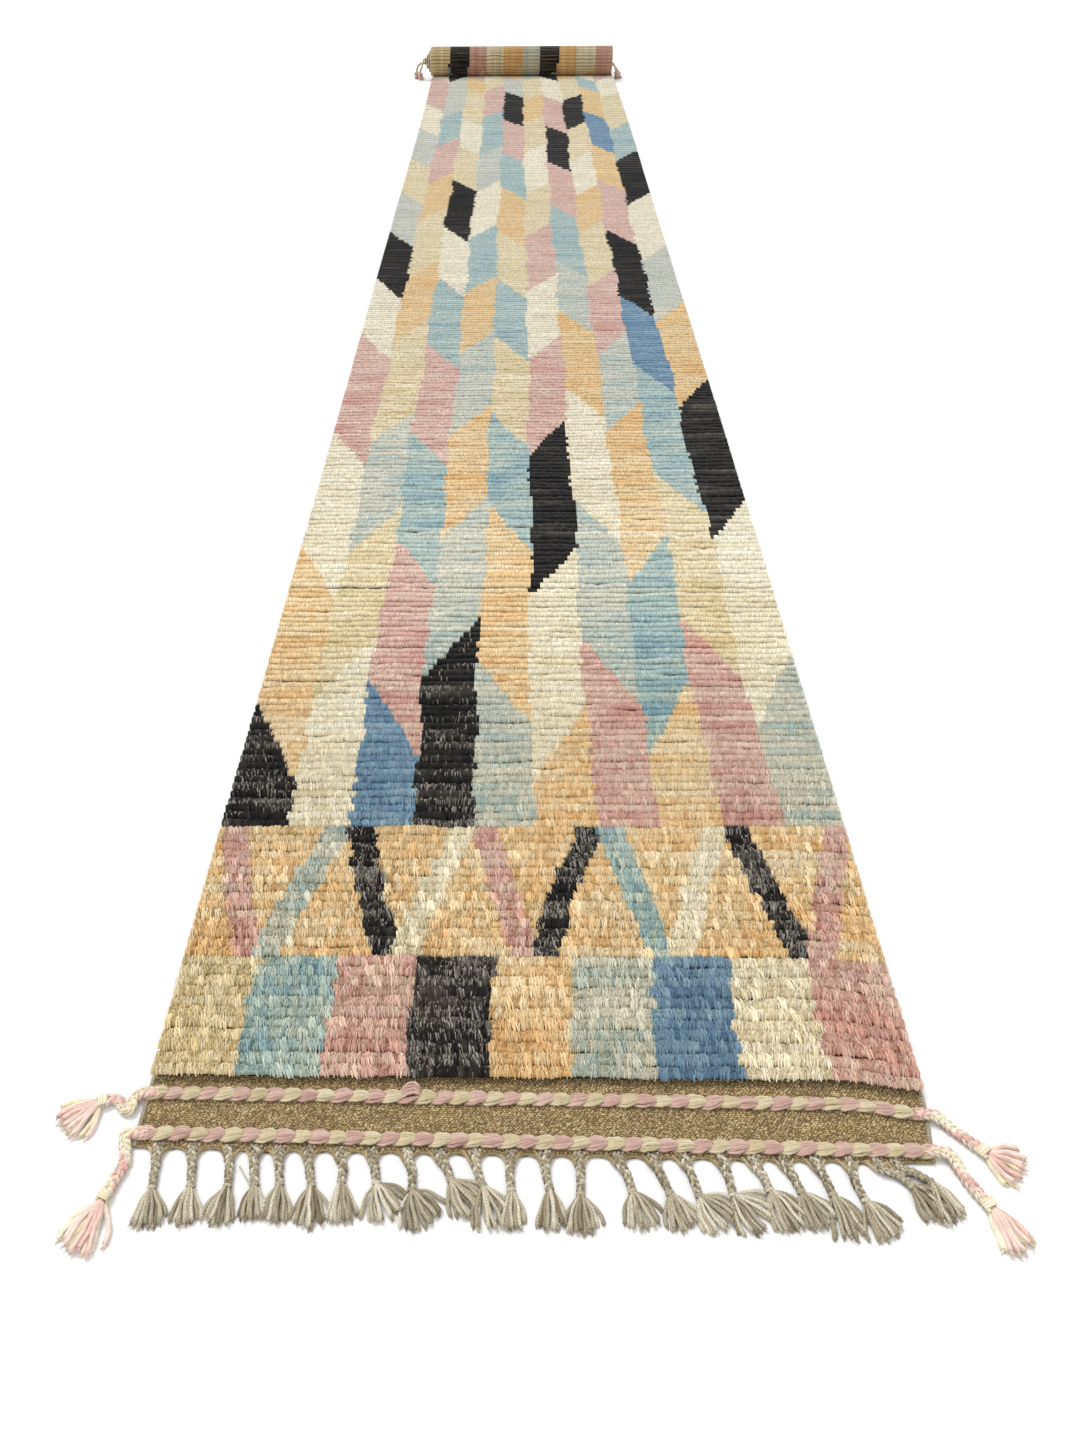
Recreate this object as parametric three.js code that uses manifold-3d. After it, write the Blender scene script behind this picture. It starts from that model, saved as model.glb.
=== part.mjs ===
// Hand-knotted runner rug, lying pile side up, with its far end wound up into a roll.
// Millimetres, +Z up, +X to the right, +Y along the rug from its front fringe to the roll.
// The rug is modelled with the pile's front edge at y = 0 and is centred on its footprint at the end.

import * as THREE from 'three';
import { mergeVertices } from 'three/addons/utils/BufferGeometryUtils.js';
import Module from 'manifold-3d';

const wasm = await Module();
wasm.setup();

// Cloth
const WIDTH = 800;
const HALF = WIDTH / 2;
const PILE_THICKNESS = 16;
const KILIM_THICKNESS = 3;
const KILIM_LENGTH = 88;
const PILE_OVERHANG = 7;
const SELVEDGE_BULGE = 1.2;
const FLAT_LENGTH = 4990;
const ROW_PITCH = 100;
const LUMP_HEIGHT = 1.1;
const FAR_DRIFT = -14;
const WAVER = 2.5;
const END_SLANT = 8.5;
const PILE_EDGE_SLANT = 3.5;
const CORNER_DROOP = 8;
const PILE_FOOT = 4;
const FRONT_ROUNDING = 8;
// Places across the half width where the pile's height is set
const STATIONS = [-0.985, -0.75, -0.5, -0.25, 0, 0.25, 0.5, 0.75, 0.985];

// Roll
const ROLL_RADIUS = 66;
const ROLL_PITCH = 14;
const ROLLED_THICKNESS = 13;
const PILE_TURNS = 3.25;
const ALL_TURNS = 4.4;
const STEPS_PER_TURN = 18;
const TELESCOPE = -32;
const ROLL_SKEW = 12;

// The flat stretch's last rows, which the roll presses down
const PRESSED_ROWS = [
  { back: 55, thickness: 15.5 },
  { back: 26, thickness: 13.8 },
  { back: 10, thickness: ROLLED_THICKNESS },
];

// Braids and tassels
const GAP = 0.3;
const LOBES = 46;
const LOBE_WIDTH = 13.5;
const LOBE_HEIGHT = 6.4;
const VALLEY_SHARE = 0.62;
// One row for each front braid: how far before y = 0 its middle lies, how much nearer the fringe it
// runs at the right than at the middle, and its extra dip at the right corner
const BRAIDS = {
  inner: { before: 23, slant: 5.5, dip: 10 },
  outer: { before: 69, slant: 10, dip: 0 },
};
const PLAIT_WIDTH = 10;
const PLAIT_HEIGHT = 7;
const STRIP_DEPTH = 4;
const LOCKS_PER_TUFT = 8;
const LOCK_WIDTH = 4.6;
const LOCK_HEIGHT = 3;
const VALLEY_REACH = 0.38;
const FAR_PLAIT_WIDTH = 7.6;
const FAR_LOCK_RADIUS = 1.8;

// One row for each front tassel: where its plait starts along the cloth's end, how far the plait's
// end lies to the right and ahead of that, the tuft's heading and half spread in degrees from
// straight ahead, to the right positive, and the tuft's length.
const TASSELS = [
  { root: -376, right: 4, ahead: 38, aim: 8, spread: 29, length: 41 },
  { root: -341, right: 6, ahead: 36, aim: 1, spread: 28, length: 39 },
  { root: -304, right: 5, ahead: 35, aim: -8, spread: 30, length: 39 },
  { root: -279, right: 6, ahead: 33, aim: 4, spread: 24, length: 36 },
  { root: -255, right: 6, ahead: 32, aim: -3, spread: 27, length: 39 },
  { root: -226, right: 8, ahead: 33, aim: 3, spread: 34, length: 43 },
  { root: -194, right: 5, ahead: 28, aim: 9, spread: 26, length: 42 },
  { root: -162, right: 7, ahead: 29, aim: 26, spread: 50, length: 41 },
  { root: -127, right: 7, ahead: 35, aim: 29, spread: 52, length: 41 },
  { root: -95, right: 12, ahead: 24, aim: 40, spread: 39, length: 43 },
  { root: -61, right: 9, ahead: 29, aim: 18, spread: 35, length: 46 },
  { root: -25, right: 1, ahead: 33, aim: 1, spread: 23, length: 40 },
  { root: 9, right: 4, ahead: 31, aim: 4, spread: 28, length: 42 },
  { root: 43, right: 0, ahead: 36, aim: 1, spread: 36, length: 40 },
  { root: 81, right: 12, ahead: 32, aim: 18, spread: 42, length: 40 },
  { root: 116, right: 13, ahead: 33, aim: 22, spread: 35, length: 39 },
  { root: 147, right: 10, ahead: 35, aim: 44, spread: 46, length: 41 },
  { root: 184, right: 6, ahead: 34, aim: 46, spread: 48, length: 43 },
  { root: 215, right: 11, ahead: 28, aim: 31, spread: 35, length: 45 },
  { root: 245, right: 11, ahead: 29, aim: 29, spread: 39, length: 40 },
  { root: 276, right: 10, ahead: 31, aim: 19, spread: 33, length: 48 },
  { root: 309, right: 7, ahead: 36, aim: 27, spread: 34, length: 43 },
  { root: 336, right: 28, ahead: 21, aim: 42, spread: 38, length: 42 },
  { root: 354, right: 29, ahead: 17, aim: 18, spread: 28, length: 45 },
];

// One row for each plaited tail of a front braid: side, the floor points it bends at and is knotted
// at, and its tuft's heading, half spread and length.
const FRONT_TAILS = {
  inner: [
    { side: -1, bend: [-424, -33], knot: [-447, -26], aim: -70, spread: 58, length: 44 },
    { side: 1, bend: [421, -58], knot: [447, -80], aim: 56, spread: 36, length: 38 },
  ],
  outer: [
    { side: -1, bend: [-413, -92], knot: [-419, -128], aim: -14, spread: 36, length: 52 },
    { side: 1, bend: [418, -104], knot: [433, -136], aim: 32, spread: 28, length: 48 },
  ],
};

// One row for each tail at the roll's ends: side, the points of its droop as distance past the
// roll's core end and height, and where its tuft stands on the floor.
const FAR_TAILS = {
  inner: [
    { side: -1, droop: [[4, 76.5], [10, 66], [16, 50], [25, 31]], foot: [24, -16] },
    { side: 1, droop: [[4, 76.5], [20, 72], [37, 56], [50, 30]], foot: [53, -16] },
  ],
  outer: [
    { side: -1, droop: [[4, 62.8], [20, 60], [35, 48], [42, 28]], foot: [43, 12] },
    { side: 1, droop: [[4, 62.8], [20, 59], [42, 46], [60, 26]], foot: [64, 12] },
  ],
};

const UP = new THREE.Vector3(0, 0, 1);
const radians = THREE.MathUtils.degToRad;
const smooth = THREE.MathUtils.smoothstep;

const wool = (color, roughness = 0.95) => new THREE.MeshStandardMaterial({ color, roughness, metalness: 0 });
const PILE_WOOL = wool(0xd6c49a);
const BRAID_WOOL = wool(0xdcc0a8);
const FRINGE_WOOL = wool(0xa89a80);

// A repeatable row of numbers from 0 to 1
function makeRandom(seed) {
  let state = seed;
  return () => {
    state = (state * 16807) % 2147483647;
    return state / 2147483647;
  };
}

// Lines across the rug: the cloth's end, the pile's front edge and the two braids, at a given x
const atRightCorner = (x) => smooth(x, 0.8 * HALF, HALF);
const clothEnd = (x) => -KILIM_LENGTH - (END_SLANT * x) / HALF;
const pileEdge = (x) => -(PILE_EDGE_SLANT * x) / HALF - CORNER_DROOP * atRightCorner(x);
const braidLine = ({ before, slant, dip }) => (x) => -before - (slant * x) / HALF - dip * atRightCorner(x);

// How far a point is set along the rug by the roll, which was wound a little askew
const rollSkew = (x, y) => ((ROLL_SKEW * x) / HALF) * smooth(y, 0.7 * FLAT_LENGTH, FLAT_LENGTH);

// How far the rug's middle line strays sideways, a little along its length and more at the far end
function drift(y) {
  const along = THREE.MathUtils.clamp(y / FLAT_LENGTH, 0, 1);
  return FAR_DRIFT * along ** 3 + WAVER * Math.sin(3 * Math.PI * along) * along;
}

// A closed body lofted through rings of equal count, its ends closed by fans
function loft(rings) {
  const count = rings[0].length;
  const positions = rings.flat().flatMap((p) => [p.x, p.y, p.z]);
  const faces = [];
  for (let ring = 0; ring + 1 < rings.length; ring += 1) {
    for (let k = 0; k < count; k += 1) {
      const a = ring * count + k;
      const b = ring * count + ((k + 1) % count);
      faces.push(a, b, b + count, a, b + count, a + count);
    }
  }
  const last = (rings.length - 1) * count;
  for (let k = 1; k + 1 < count; k += 1) {
    faces.push(0, k + 1, k, last, last + k, last + k + 1);
  }
  if (signedVolume(positions, faces) < 0) faces.reverse();
  const geometry = new THREE.BufferGeometry();
  geometry.setAttribute('position', new THREE.Float32BufferAttribute(positions, 3));
  geometry.setIndex(faces);
  return geometry;
}

function signedVolume(positions, faces) {
  const corner = (k) => new THREE.Vector3().fromArray(positions, 3 * faces[k]);
  let sum = 0;
  for (let k = 0; k < faces.length; k += 3) {
    sum += corner(k).dot(corner(k + 1).cross(corner(k + 2)));
  }
  return sum / 6;
}

// Overlapping closed bodies fused into one
function fuse(geometries) {
  const solids = geometries.map((geometry) => {
    const mesh = new wasm.Mesh({
      numProp: 3,
      vertProperties: new Float32Array(geometry.attributes.position.array),
      triVerts: new Uint32Array(geometry.index.array),
    });
    return new wasm.Manifold(mesh);
  });
  const joined = solids.reduce((whole, solid) => whole.add(solid));
  const mesh = joined.getMesh();
  const geometry = new THREE.BufferGeometry();
  geometry.setAttribute('position', new THREE.Float32BufferAttribute(mesh.vertProperties, 3));
  geometry.setIndex([...mesh.triVerts]);
  return mergeVertices(geometry, 1e-4);
}

// A three.js shape with its shared corners merged, so that it is one closed body
function closed(geometry) {
  geometry.deleteAttribute('normal');
  geometry.deleteAttribute('uv');
  return mergeVertices(geometry, 1e-4);
}

// Sections of a lying strand, as shares of its width and height
const FOUR_SIDES = [[-0.5, 0], [0.5, 0], [0.32, 1], [-0.32, 1]];
const FIVE_SIDES = [[-0.5, 0], [0.5, 0], [0.4, 0.66], [0, 1], [-0.4, 0.66]];

// A strand that lies on something: each point gives its underside's middle, width and height
function lyingStrand(points, section) {
  const rings = points.map((point, k) => {
    const before = points[Math.max(k - 1, 0)];
    const after = points[Math.min(k + 1, points.length - 1)];
    const run = new THREE.Vector3(after.x - before.x, after.y - before.y, 0).normalize();
    const side = new THREE.Vector3(-run.y, run.x, 0);
    return section.map(([across, high]) => new THREE.Vector3(point.x, point.y, point.z)
      .addScaledVector(side, across * point.width)
      .addScaledVector(UP, high * point.height));
  });
  return loft(rings);
}

// A strand in the air: each point gives its middle and radius
function roundStrand(points, sides) {
  const rings = points.map((point, k) => {
    const before = points[Math.max(k - 1, 0)];
    const after = points[Math.min(k + 1, points.length - 1)];
    const run = new THREE.Vector3(after.x - before.x, after.y - before.y, after.z - before.z).normalize();
    const side = new THREE.Vector3(0, 1, 0);
    const over = new THREE.Vector3().crossVectors(run, side).normalize();
    return Array.from({ length: sides }, (_, s) => {
      const turn = (2 * Math.PI * (s + 0.5)) / sides;
      return new THREE.Vector3(point.x, point.y, point.z)
        .addScaledVector(side, point.radius * Math.cos(turn))
        .addScaledVector(over, point.radius * Math.sin(turn));
    });
  });
  return loft(rings);
}

// One tuft, fanned out on the floor from the end of its plait: a thin body whose outline runs out
// along each lock and back between it and the next
function tuft(start, aim, spread, length, count, random) {
  const pitch = (2 * spread) / (count - 1);
  const width = Math.min(LOCK_WIDTH, 0.74 * radians(pitch) * length);
  const at = (heading, reach) => new THREE.Vector2(
    start.x + reach * Math.sin(radians(heading)),
    start.y - reach * Math.cos(radians(heading)),
  );
  const outline = [at(aim - 100, 0.3 * PLAIT_WIDTH)];
  for (let lock = 0; lock < count; lock += 1) {
    const heading = aim - spread + pitch * lock + 0.2 * pitch * (random() - 0.5);
    const reach = length * (1 - 0.12 * random());
    const half = THREE.MathUtils.radToDeg(0.5 * width / reach);
    if (lock > 0) outline.push(at(heading - 0.5 * pitch, length * (VALLEY_REACH + 0.1 * random())));
    outline.push(at(heading - half, reach), at(heading + half, 0.97 * reach));
  }
  outline.push(at(aim + 100, 0.3 * PLAIT_WIDTH));
  return closed(new THREE.ExtrudeGeometry(new THREE.Shape(outline), {
    depth: LOCK_HEIGHT,
    bevelEnabled: false,
  }));
}

// One section of the cloth: from the left edge over the pile to the right edge. The back lies at
// the given point, and the pile stands on it along the given direction.
function clothRing({ y, z, across = 0, upright = 1, thickness, overhang, lump = 0, skew, shift = 0 }) {
  const place = (x, height) => new THREE.Vector3(
    x + shift,
    y + skew(x) + across * height,
    z + upright * height,
  );
  const uneven = (x) => lump * LUMP_HEIGHT * Math.sin(x / 61 + y / 143) * Math.cos(x / 97 - y / 211);
  const surface = STATIONS.map((share, k) => {
    const atRim = k === 0 || k === STATIONS.length - 1;
    return place(share * HALF, (atRim ? 0.9 : 1) * thickness + uneven(share * HALF));
  });
  return [
    place(-HALF, 0),
    place(-HALF - overhang, 0.5 * thickness),
    ...surface,
    place(HALF + overhang, 0.5 * thickness),
    place(HALF, 0),
  ];
}

// The kilim end and the rounded front of the pile
function frontRings() {
  const kilim = { z: 0, thickness: KILIM_THICKNESS, overhang: SELVEDGE_BULGE };
  return [
    clothRing({ ...kilim, y: 0, skew: clothEnd }),
    clothRing({ ...kilim, y: 0, skew: (x) => 0.5 * (clothEnd(x) + pileEdge(x)) }),
    clothRing({ ...kilim, y: PILE_FOOT, skew: pileEdge }),
    clothRing({
      y: PILE_FOOT + 1,
      z: 0,
      skew: pileEdge,
      thickness: 0.62 * PILE_THICKNESS,
      overhang: 0.5 * PILE_OVERHANG,
    }),
    clothRing({
      y: PILE_FOOT + FRONT_ROUNDING,
      z: 0,
      skew: pileEdge,
      thickness: PILE_THICKNESS,
      overhang: PILE_OVERHANG,
    }),
  ];
}

// The flat stretch, which loses its slant over its first rows and its lumps near the roll
function flatRings() {
  const rows = Math.round(FLAT_LENGTH / ROW_PITCH) - 1;
  return Array.from({ length: rows }, (_, k) => {
    const y = ROW_PITCH * (k + 1);
    const slant = 1 - smooth(y, 0, 4 * ROW_PITCH);
    return clothRing({
      y,
      z: 0,
      skew: (x) => slant * pileEdge(x) + rollSkew(x, y),
      thickness: PILE_THICKNESS,
      overhang: PILE_OVERHANG + 1.5 * Math.sin(y / 130),
      lump: smooth(y, 0, 150) * (1 - smooth(y, FLAT_LENGTH - 300, FLAT_LENGTH - 100)),
      shift: drift(y),
    });
  });
}

// The last bit before the roll, where its weight presses the pile down
function pressedRings() {
  return PRESSED_ROWS.map(({ back, thickness }) => clothRing({
    y: FLAT_LENGTH - back,
    z: 0,
    skew: (x) => rollSkew(x, FLAT_LENGTH - back),
    thickness,
    overhang: 0.7 * PILE_OVERHANG,
    shift: drift(FLAT_LENGTH - back),
  }));
}

// Radius of the cloth's back in the roll after a number of turns
const rollRadius = (turns) => ROLL_RADIUS - ROLL_PITCH * turns;

// How far the layers of the roll step out towards the left, more towards its core
function telescope(turns) {
  const inward = (ROLL_RADIUS - rollRadius(turns)) / ROLL_RADIUS;
  return FAR_DRIFT + TELESCOPE * Math.min(1, inward * 1.35) ** 1.3;
}

// The spiral of the roll, from the line where it touches the flat stretch to the cloth's far end
function rollRings() {
  const steps = Math.floor(ALL_TURNS * STEPS_PER_TURN);
  return Array.from({ length: steps + 1 }, (_, k) => {
    const turns = k / STEPS_PER_TURN;
    const angle = 2 * Math.PI * turns;
    const radius = rollRadius(turns);
    const onPile = turns < PILE_TURNS;
    return clothRing({
      y: FLAT_LENGTH + radius * Math.sin(angle),
      z: ROLL_RADIUS - radius * Math.cos(angle),
      across: -Math.sin(angle),
      upright: Math.cos(angle),
      skew: (x) => rollSkew(x, FLAT_LENGTH),
      thickness: onPile ? ROLLED_THICKNESS : KILIM_THICKNESS,
      overhang: onPile ? 0.4 * PILE_OVERHANG : SELVEDGE_BULGE,
      shift: telescope(turns),
    });
  });
}

function rugGeometry() {
  return loft([...frontRings(), ...flatRings(), ...pressedRings(), ...rollRings()]);
}

// One plaited tail of a front braid: off the kilim, down to the floor, a knot and a tuft
function frontTail(tail, line, random) {
  const { side, bend, knot, aim, spread, length } = tail;
  const onCloth = KILIM_THICKNESS + GAP;
  const edge = side * HALF;
  const start = line(edge);
  const step = (x, y, z, width = PLAIT_WIDTH, height = PLAIT_HEIGHT) => ({ x, y, z, width, height });
  const middle = [(bend[0] + knot[0]) / 2, (bend[1] + knot[1]) / 2];
  const towards = new THREE.Vector2(knot[0] - bend[0], knot[1] - bend[1]).normalize();
  const past = (distance) => [knot[0] + towards.x * distance, knot[1] + towards.y * distance];
  const plait = lyingStrand([
    step(edge - side * 16, line(edge - side * 16), onCloth, 0.8 * PLAIT_WIDTH, 0.7 * PLAIT_HEIGHT),
    step(edge + side * 5, start - 1, onCloth, 0.8 * PLAIT_WIDTH, 0.8 * PLAIT_HEIGHT),
    step(edge + side * 11, start - 5, 0),
    step(...bend, 0, 0.9 * PLAIT_WIDTH),
    step(...middle, 0),
    step(...past(-6), 0, 0.75 * PLAIT_WIDTH),
    step(...knot, 0, 1.25 * PLAIT_WIDTH, 1.3 * PLAIT_HEIGHT),
    step(...past(5), 0, 0.7 * PLAIT_WIDTH, 0.8 * PLAIT_HEIGHT),
  ], FOUR_SIDES);
  const root = { x: past(3)[0], y: past(3)[1] };
  return [plait, tuft(root, aim, spread, length, LOCKS_PER_TUFT - 1, random)];
}

// A twined braid across the kilim: a low ridge that swells at each lobe
function braidRidge(line) {
  const pitch = WIDTH / LOBES;
  const points = [];
  for (let lobe = 0; lobe < LOBES; lobe += 1) {
    const crest = -HALF + pitch * (lobe + 0.5);
    const valley = crest + 0.5 * pitch;
    const base = { z: KILIM_THICKNESS + GAP };
    points.push({ ...base, x: crest, y: line(crest), width: LOBE_WIDTH, height: LOBE_HEIGHT });
    if (lobe + 1 < LOBES) {
      points.push({
        ...base,
        x: valley,
        y: line(valley),
        width: VALLEY_SHARE * LOBE_WIDTH,
        height: VALLEY_SHARE * LOBE_HEIGHT,
      });
    }
  }
  return lyingStrand(points, FIVE_SIDES);
}

function frontBraidGeometry(which, seed) {
  const random = makeRandom(seed);
  const line = braidLine(BRAIDS[which]);
  const tails = FRONT_TAILS[which].flatMap((tail) => frontTail(tail, line, random));
  return fuse([braidRidge(line), ...tails]);
}

// The warp ends: a strip along the cloth's end and the plaited tassels rooted in it
function fringeGeometry() {
  const random = makeRandom(24);
  const outside = (x) => clothEnd(x) - GAP;
  const strip = lyingStrand([-1, -0.5, 0, 0.5, 1].map((share) => ({
    x: share * HALF,
    y: outside(share * HALF) - 0.5 * STRIP_DEPTH,
    z: 0,
    width: STRIP_DEPTH,
    height: KILIM_THICKNESS,
  })), FOUR_SIDES);
  const tassels = TASSELS.flatMap((tassel) => {
    const startY = outside(tassel.root) - 0.6 * STRIP_DEPTH;
    const run = tassel.ahead + clothEnd(tassel.root) - startY;
    const along = (share, sway) => ({
      x: tassel.root + tassel.right * share + sway,
      y: startY - run * share,
      z: 0,
    });
    const full = { width: PLAIT_WIDTH, height: PLAIT_HEIGHT };
    const gathered = { x: tassel.root, y: startY - STRIP_DEPTH, z: 0 };
    const plait = lyingStrand([
      { ...along(0, 0), width: 1.5 * PLAIT_WIDTH, height: 0.4 * PLAIT_HEIGHT },
      { ...gathered, width: 1.1 * PLAIT_WIDTH, height: 0.8 * PLAIT_HEIGHT },
      { ...along(0.3, 0.6), ...full },
      { ...along(0.48, -0.6), width: 0.85 * PLAIT_WIDTH, height: PLAIT_HEIGHT },
      { ...along(0.66, 0.6), ...full },
      { ...along(0.84, -0.6), width: 0.85 * PLAIT_WIDTH, height: PLAIT_HEIGHT },
      { ...along(1, 0), width: 0.7 * PLAIT_WIDTH, height: 0.8 * PLAIT_HEIGHT },
    ], FOUR_SIDES);
    const root = along(0.97, 0);
    return [plait, tuft(root, tassel.aim, tassel.spread, tassel.length, LOCKS_PER_TUFT, random)];
  });
  return fuse([strip, ...tassels]);
}

// The far end's braid: a cord through the core of the roll, with a tail out of each end
function farBraidGeometry(which, turns, radius) {
  const angle = 2 * Math.PI * turns;
  const seat = rollRadius(turns) - KILIM_THICKNESS - GAP - 1.15 * radius;
  const middle = (x) => FLAT_LENGTH + rollSkew(x, FLAT_LENGTH) + seat * Math.sin(angle);
  const z = ROLL_RADIUS - seat * Math.cos(angle);
  const coreEnd = (side) => side * HALF + telescope(turns);
  const cord = roundStrand([-1, 1].map((side) => {
    const x = coreEnd(side) + 4 * side;
    return { x, y: middle(x), z, radius };
  }), 6);
  const tails = FAR_TAILS[which].flatMap(({ side, droop, foot }) => {
    const end = coreEnd(side);
    const y = middle(end);
    const points = droop.map(([out, height], k) => ({
      x: end + side * out,
      y: y + foot[1] * Math.min(1, k / 2),
      z: k === 0 ? z : height,
      radius: k === 0 ? 0.9 * radius : 0.5 * FAR_PLAIT_WIDTH,
    }));
    const knot = points.at(-1);
    const locks = [-1, -0.33, 0.33, 1].map((share) => {
      const strand = {
        x: end + side * (foot[0] + 3 * share),
        y: y + foot[1] + 7 * share,
        radius: FAR_LOCK_RADIUS,
      };
      return roundStrand([
        { ...knot, z: knot.z + 1, radius: FAR_LOCK_RADIUS },
        { ...strand, z: 2.2 * FAR_LOCK_RADIUS },
        { ...strand, x: strand.x + side * (9 - 4 * share), z: 1.1 * FAR_LOCK_RADIUS },
      ], 4);
    });
    return [roundStrand(points, 6), ...locks];
  });
  return fuse([cord, ...tails]);
}

function named(name, geometry, material) {
  const mesh = new THREE.Mesh(geometry, material);
  mesh.name = name;
  return mesh;
}

const rug = new THREE.Group();
rug.add(
  named('rug', rugGeometry(), PILE_WOOL),
  named('braid_inner', frontBraidGeometry('inner', 11), BRAID_WOOL),
  named('braid_outer', frontBraidGeometry('outer', 12), BRAID_WOOL),
  named('fringe', fringeGeometry(), FRINGE_WOOL),
  named('braid_far_inner', farBraidGeometry('inner', 3.47, 3.3), BRAID_WOOL),
  named('braid_far_outer', farBraidGeometry('outer', 4, 2.8), BRAID_WOOL),
);

const footprint = new THREE.Box3().setFromObject(rug);
const middle = footprint.getCenter(new THREE.Vector3());
rug.position.set(-middle.x, -middle.y, -footprint.min.z);

export default rug;
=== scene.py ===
# %% [markdown]
# # A hand-knotted runner rug
# The rug is one long wool cloth. Its front end is plain-woven, then knotted pile stands in ridged
# rows, and the far end is wound up into a roll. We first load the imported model. It gives the real
# size and place of each part, and every piece that we make sits where the model says.

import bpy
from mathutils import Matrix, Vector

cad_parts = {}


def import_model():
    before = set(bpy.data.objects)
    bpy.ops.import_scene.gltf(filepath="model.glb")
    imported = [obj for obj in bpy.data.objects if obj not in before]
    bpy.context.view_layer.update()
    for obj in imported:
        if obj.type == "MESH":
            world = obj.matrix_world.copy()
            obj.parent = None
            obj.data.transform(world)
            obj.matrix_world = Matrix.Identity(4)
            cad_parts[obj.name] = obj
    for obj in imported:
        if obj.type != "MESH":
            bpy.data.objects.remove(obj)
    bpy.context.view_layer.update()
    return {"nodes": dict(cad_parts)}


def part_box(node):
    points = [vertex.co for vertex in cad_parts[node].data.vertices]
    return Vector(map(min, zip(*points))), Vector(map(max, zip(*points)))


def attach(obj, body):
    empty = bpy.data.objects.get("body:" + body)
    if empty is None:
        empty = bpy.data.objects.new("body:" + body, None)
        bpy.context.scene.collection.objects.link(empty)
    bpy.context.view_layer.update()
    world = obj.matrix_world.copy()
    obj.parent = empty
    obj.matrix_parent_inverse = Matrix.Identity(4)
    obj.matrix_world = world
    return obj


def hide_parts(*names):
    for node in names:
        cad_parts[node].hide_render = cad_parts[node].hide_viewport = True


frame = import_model()
print("parts of the rug:", sorted(frame["nodes"]))

# %% [markdown]
# ## The measures
# A weaver thinks of the rug as a flat cloth: so much across, so much along, so high above its back.
# We keep the same three numbers. Along is counted from the pile's front edge, towards the roll.

# %% Measures of the cloth, in metres
import math

import bmesh
import bpy
import numpy as np
from mathutils import Matrix, Vector

HALF = 0.400
KILIM_LENGTH = 0.088
KILIM_THICKNESS = 0.003
PILE_HEIGHT = 0.0155
FLAT_LENGTH = 4.990
END_SLANT = 0.0085
PILE_EDGE_SLANT = 0.0035
CORNER_DROOP = 0.011
END_NARROWS = 0.007  # how far the right edge draws in towards the fringe
SLANT_LOST = 0.4
FAR_DRIFT = -0.014
WAVER = 0.0025
ROLL_RADIUS = 0.066
ROLL_PITCH = 0.014
ROLLED_PILE = 0.0125
ROLL_SKEW = 0.012
TELESCOPE = -0.032
PILE_TURNS = 3.25
ALL_TURNS = 4.4
CORE_STEP = 0.0472  # how far the roll's core steps out past the half width

# A row for each tassel: where it starts along the edge, how far the plait's end lies to the right
# and ahead of that, and how its tuft fans (aim, spread) and reaches, in millimetres and degrees
TASSELS = [
    (-376, 4, 38, 8, 29, 41), (-341, 6, 36, 1, 28, 39), (-304, 5, 35, -8, 30, 39),
    (-279, 6, 33, 4, 24, 36), (-255, 6, 32, -3, 27, 39), (-226, 8, 33, 3, 34, 43),
    (-194, 5, 28, 9, 26, 42), (-162, 7, 29, 26, 50, 41), (-127, 7, 35, 29, 52, 41),
    (-95, 12, 24, 40, 39, 43), (-61, 9, 29, 18, 35, 46), (-25, 1, 33, 1, 23, 40),
    (9, 4, 31, 4, 28, 42), (43, 0, 36, 1, 36, 40), (81, 12, 32, 18, 42, 40),
    (116, 13, 33, 22, 35, 39), (147, 10, 35, 44, 46, 41), (184, 6, 34, 46, 48, 43),
    (215, 11, 28, 31, 35, 45), (245, 11, 29, 29, 39, 40), (276, 10, 31, 19, 33, 48),
    (309, 7, 36, 27, 34, 43), (336, 28, 21, 42, 38, 42), (354, 29, 17, 18, 28, 45),
]

rug_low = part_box("rug")[0]
MIDDLE_X = rug_low.x + HALF + CORE_STEP
FRONT_Y = rug_low.y + KILIM_LENGTH + END_SLANT
print(f"the pile starts at y = {FRONT_Y:.4f}, the middle line is at x = {MIDDLE_X:.4f}")

# %% [markdown]
# ## Laying and rolling the cloth
# Weaving a spiral directly would be hard. Instead each piece is made flat, and one function lays
# it: it bends the ends a little askew, lets the middle line stray and winds the far end into a
# spiral whose radius shrinks by one thickness a turn. Pile and selvedges follow it for free.

# %% Functions that lay the flat cloth
def smooth(value, low, high):
    share = np.clip((np.asarray(value, float) - low) / (high - low), 0, 1)
    return share * share * (3 - 2 * share)


def at_right_corner(x):
    return smooth(x, 0.8 * HALF, HALF)


def cloth_end(x):
    return -KILIM_LENGTH - END_SLANT * x / HALF


def pile_edge(x):
    return -PILE_EDGE_SLANT * x / HALF - CORNER_DROOP * at_right_corner(x)


def drift(s):
    along = np.clip(s / FLAT_LENGTH, 0, 1)
    return FAR_DRIFT * along**3 + WAVER * np.sin(3 * math.pi * along) * along


def wound_angle(s):
    """The angle that the roll has turned through where the cloth is s along."""
    wound = np.maximum(s - FLAT_LENGTH, 0)
    left = np.sqrt(np.maximum(ROLL_RADIUS**2 - ROLL_PITCH * wound / math.pi, 1e-8))
    return (ROLL_RADIUS - left) * 2 * math.pi / ROLL_PITCH


def along_at(turns):
    """How far along the cloth is after a number of turns of the roll."""
    angle = 2 * math.pi * turns
    return FLAT_LENGTH + ROLL_RADIUS * angle - ROLL_PITCH * angle**2 / (4 * math.pi)


def telescope(turns):
    inward = ROLL_PITCH * turns / ROLL_RADIUS
    return TELESCOPE * np.minimum(1, inward * 1.35) ** 1.3


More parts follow.
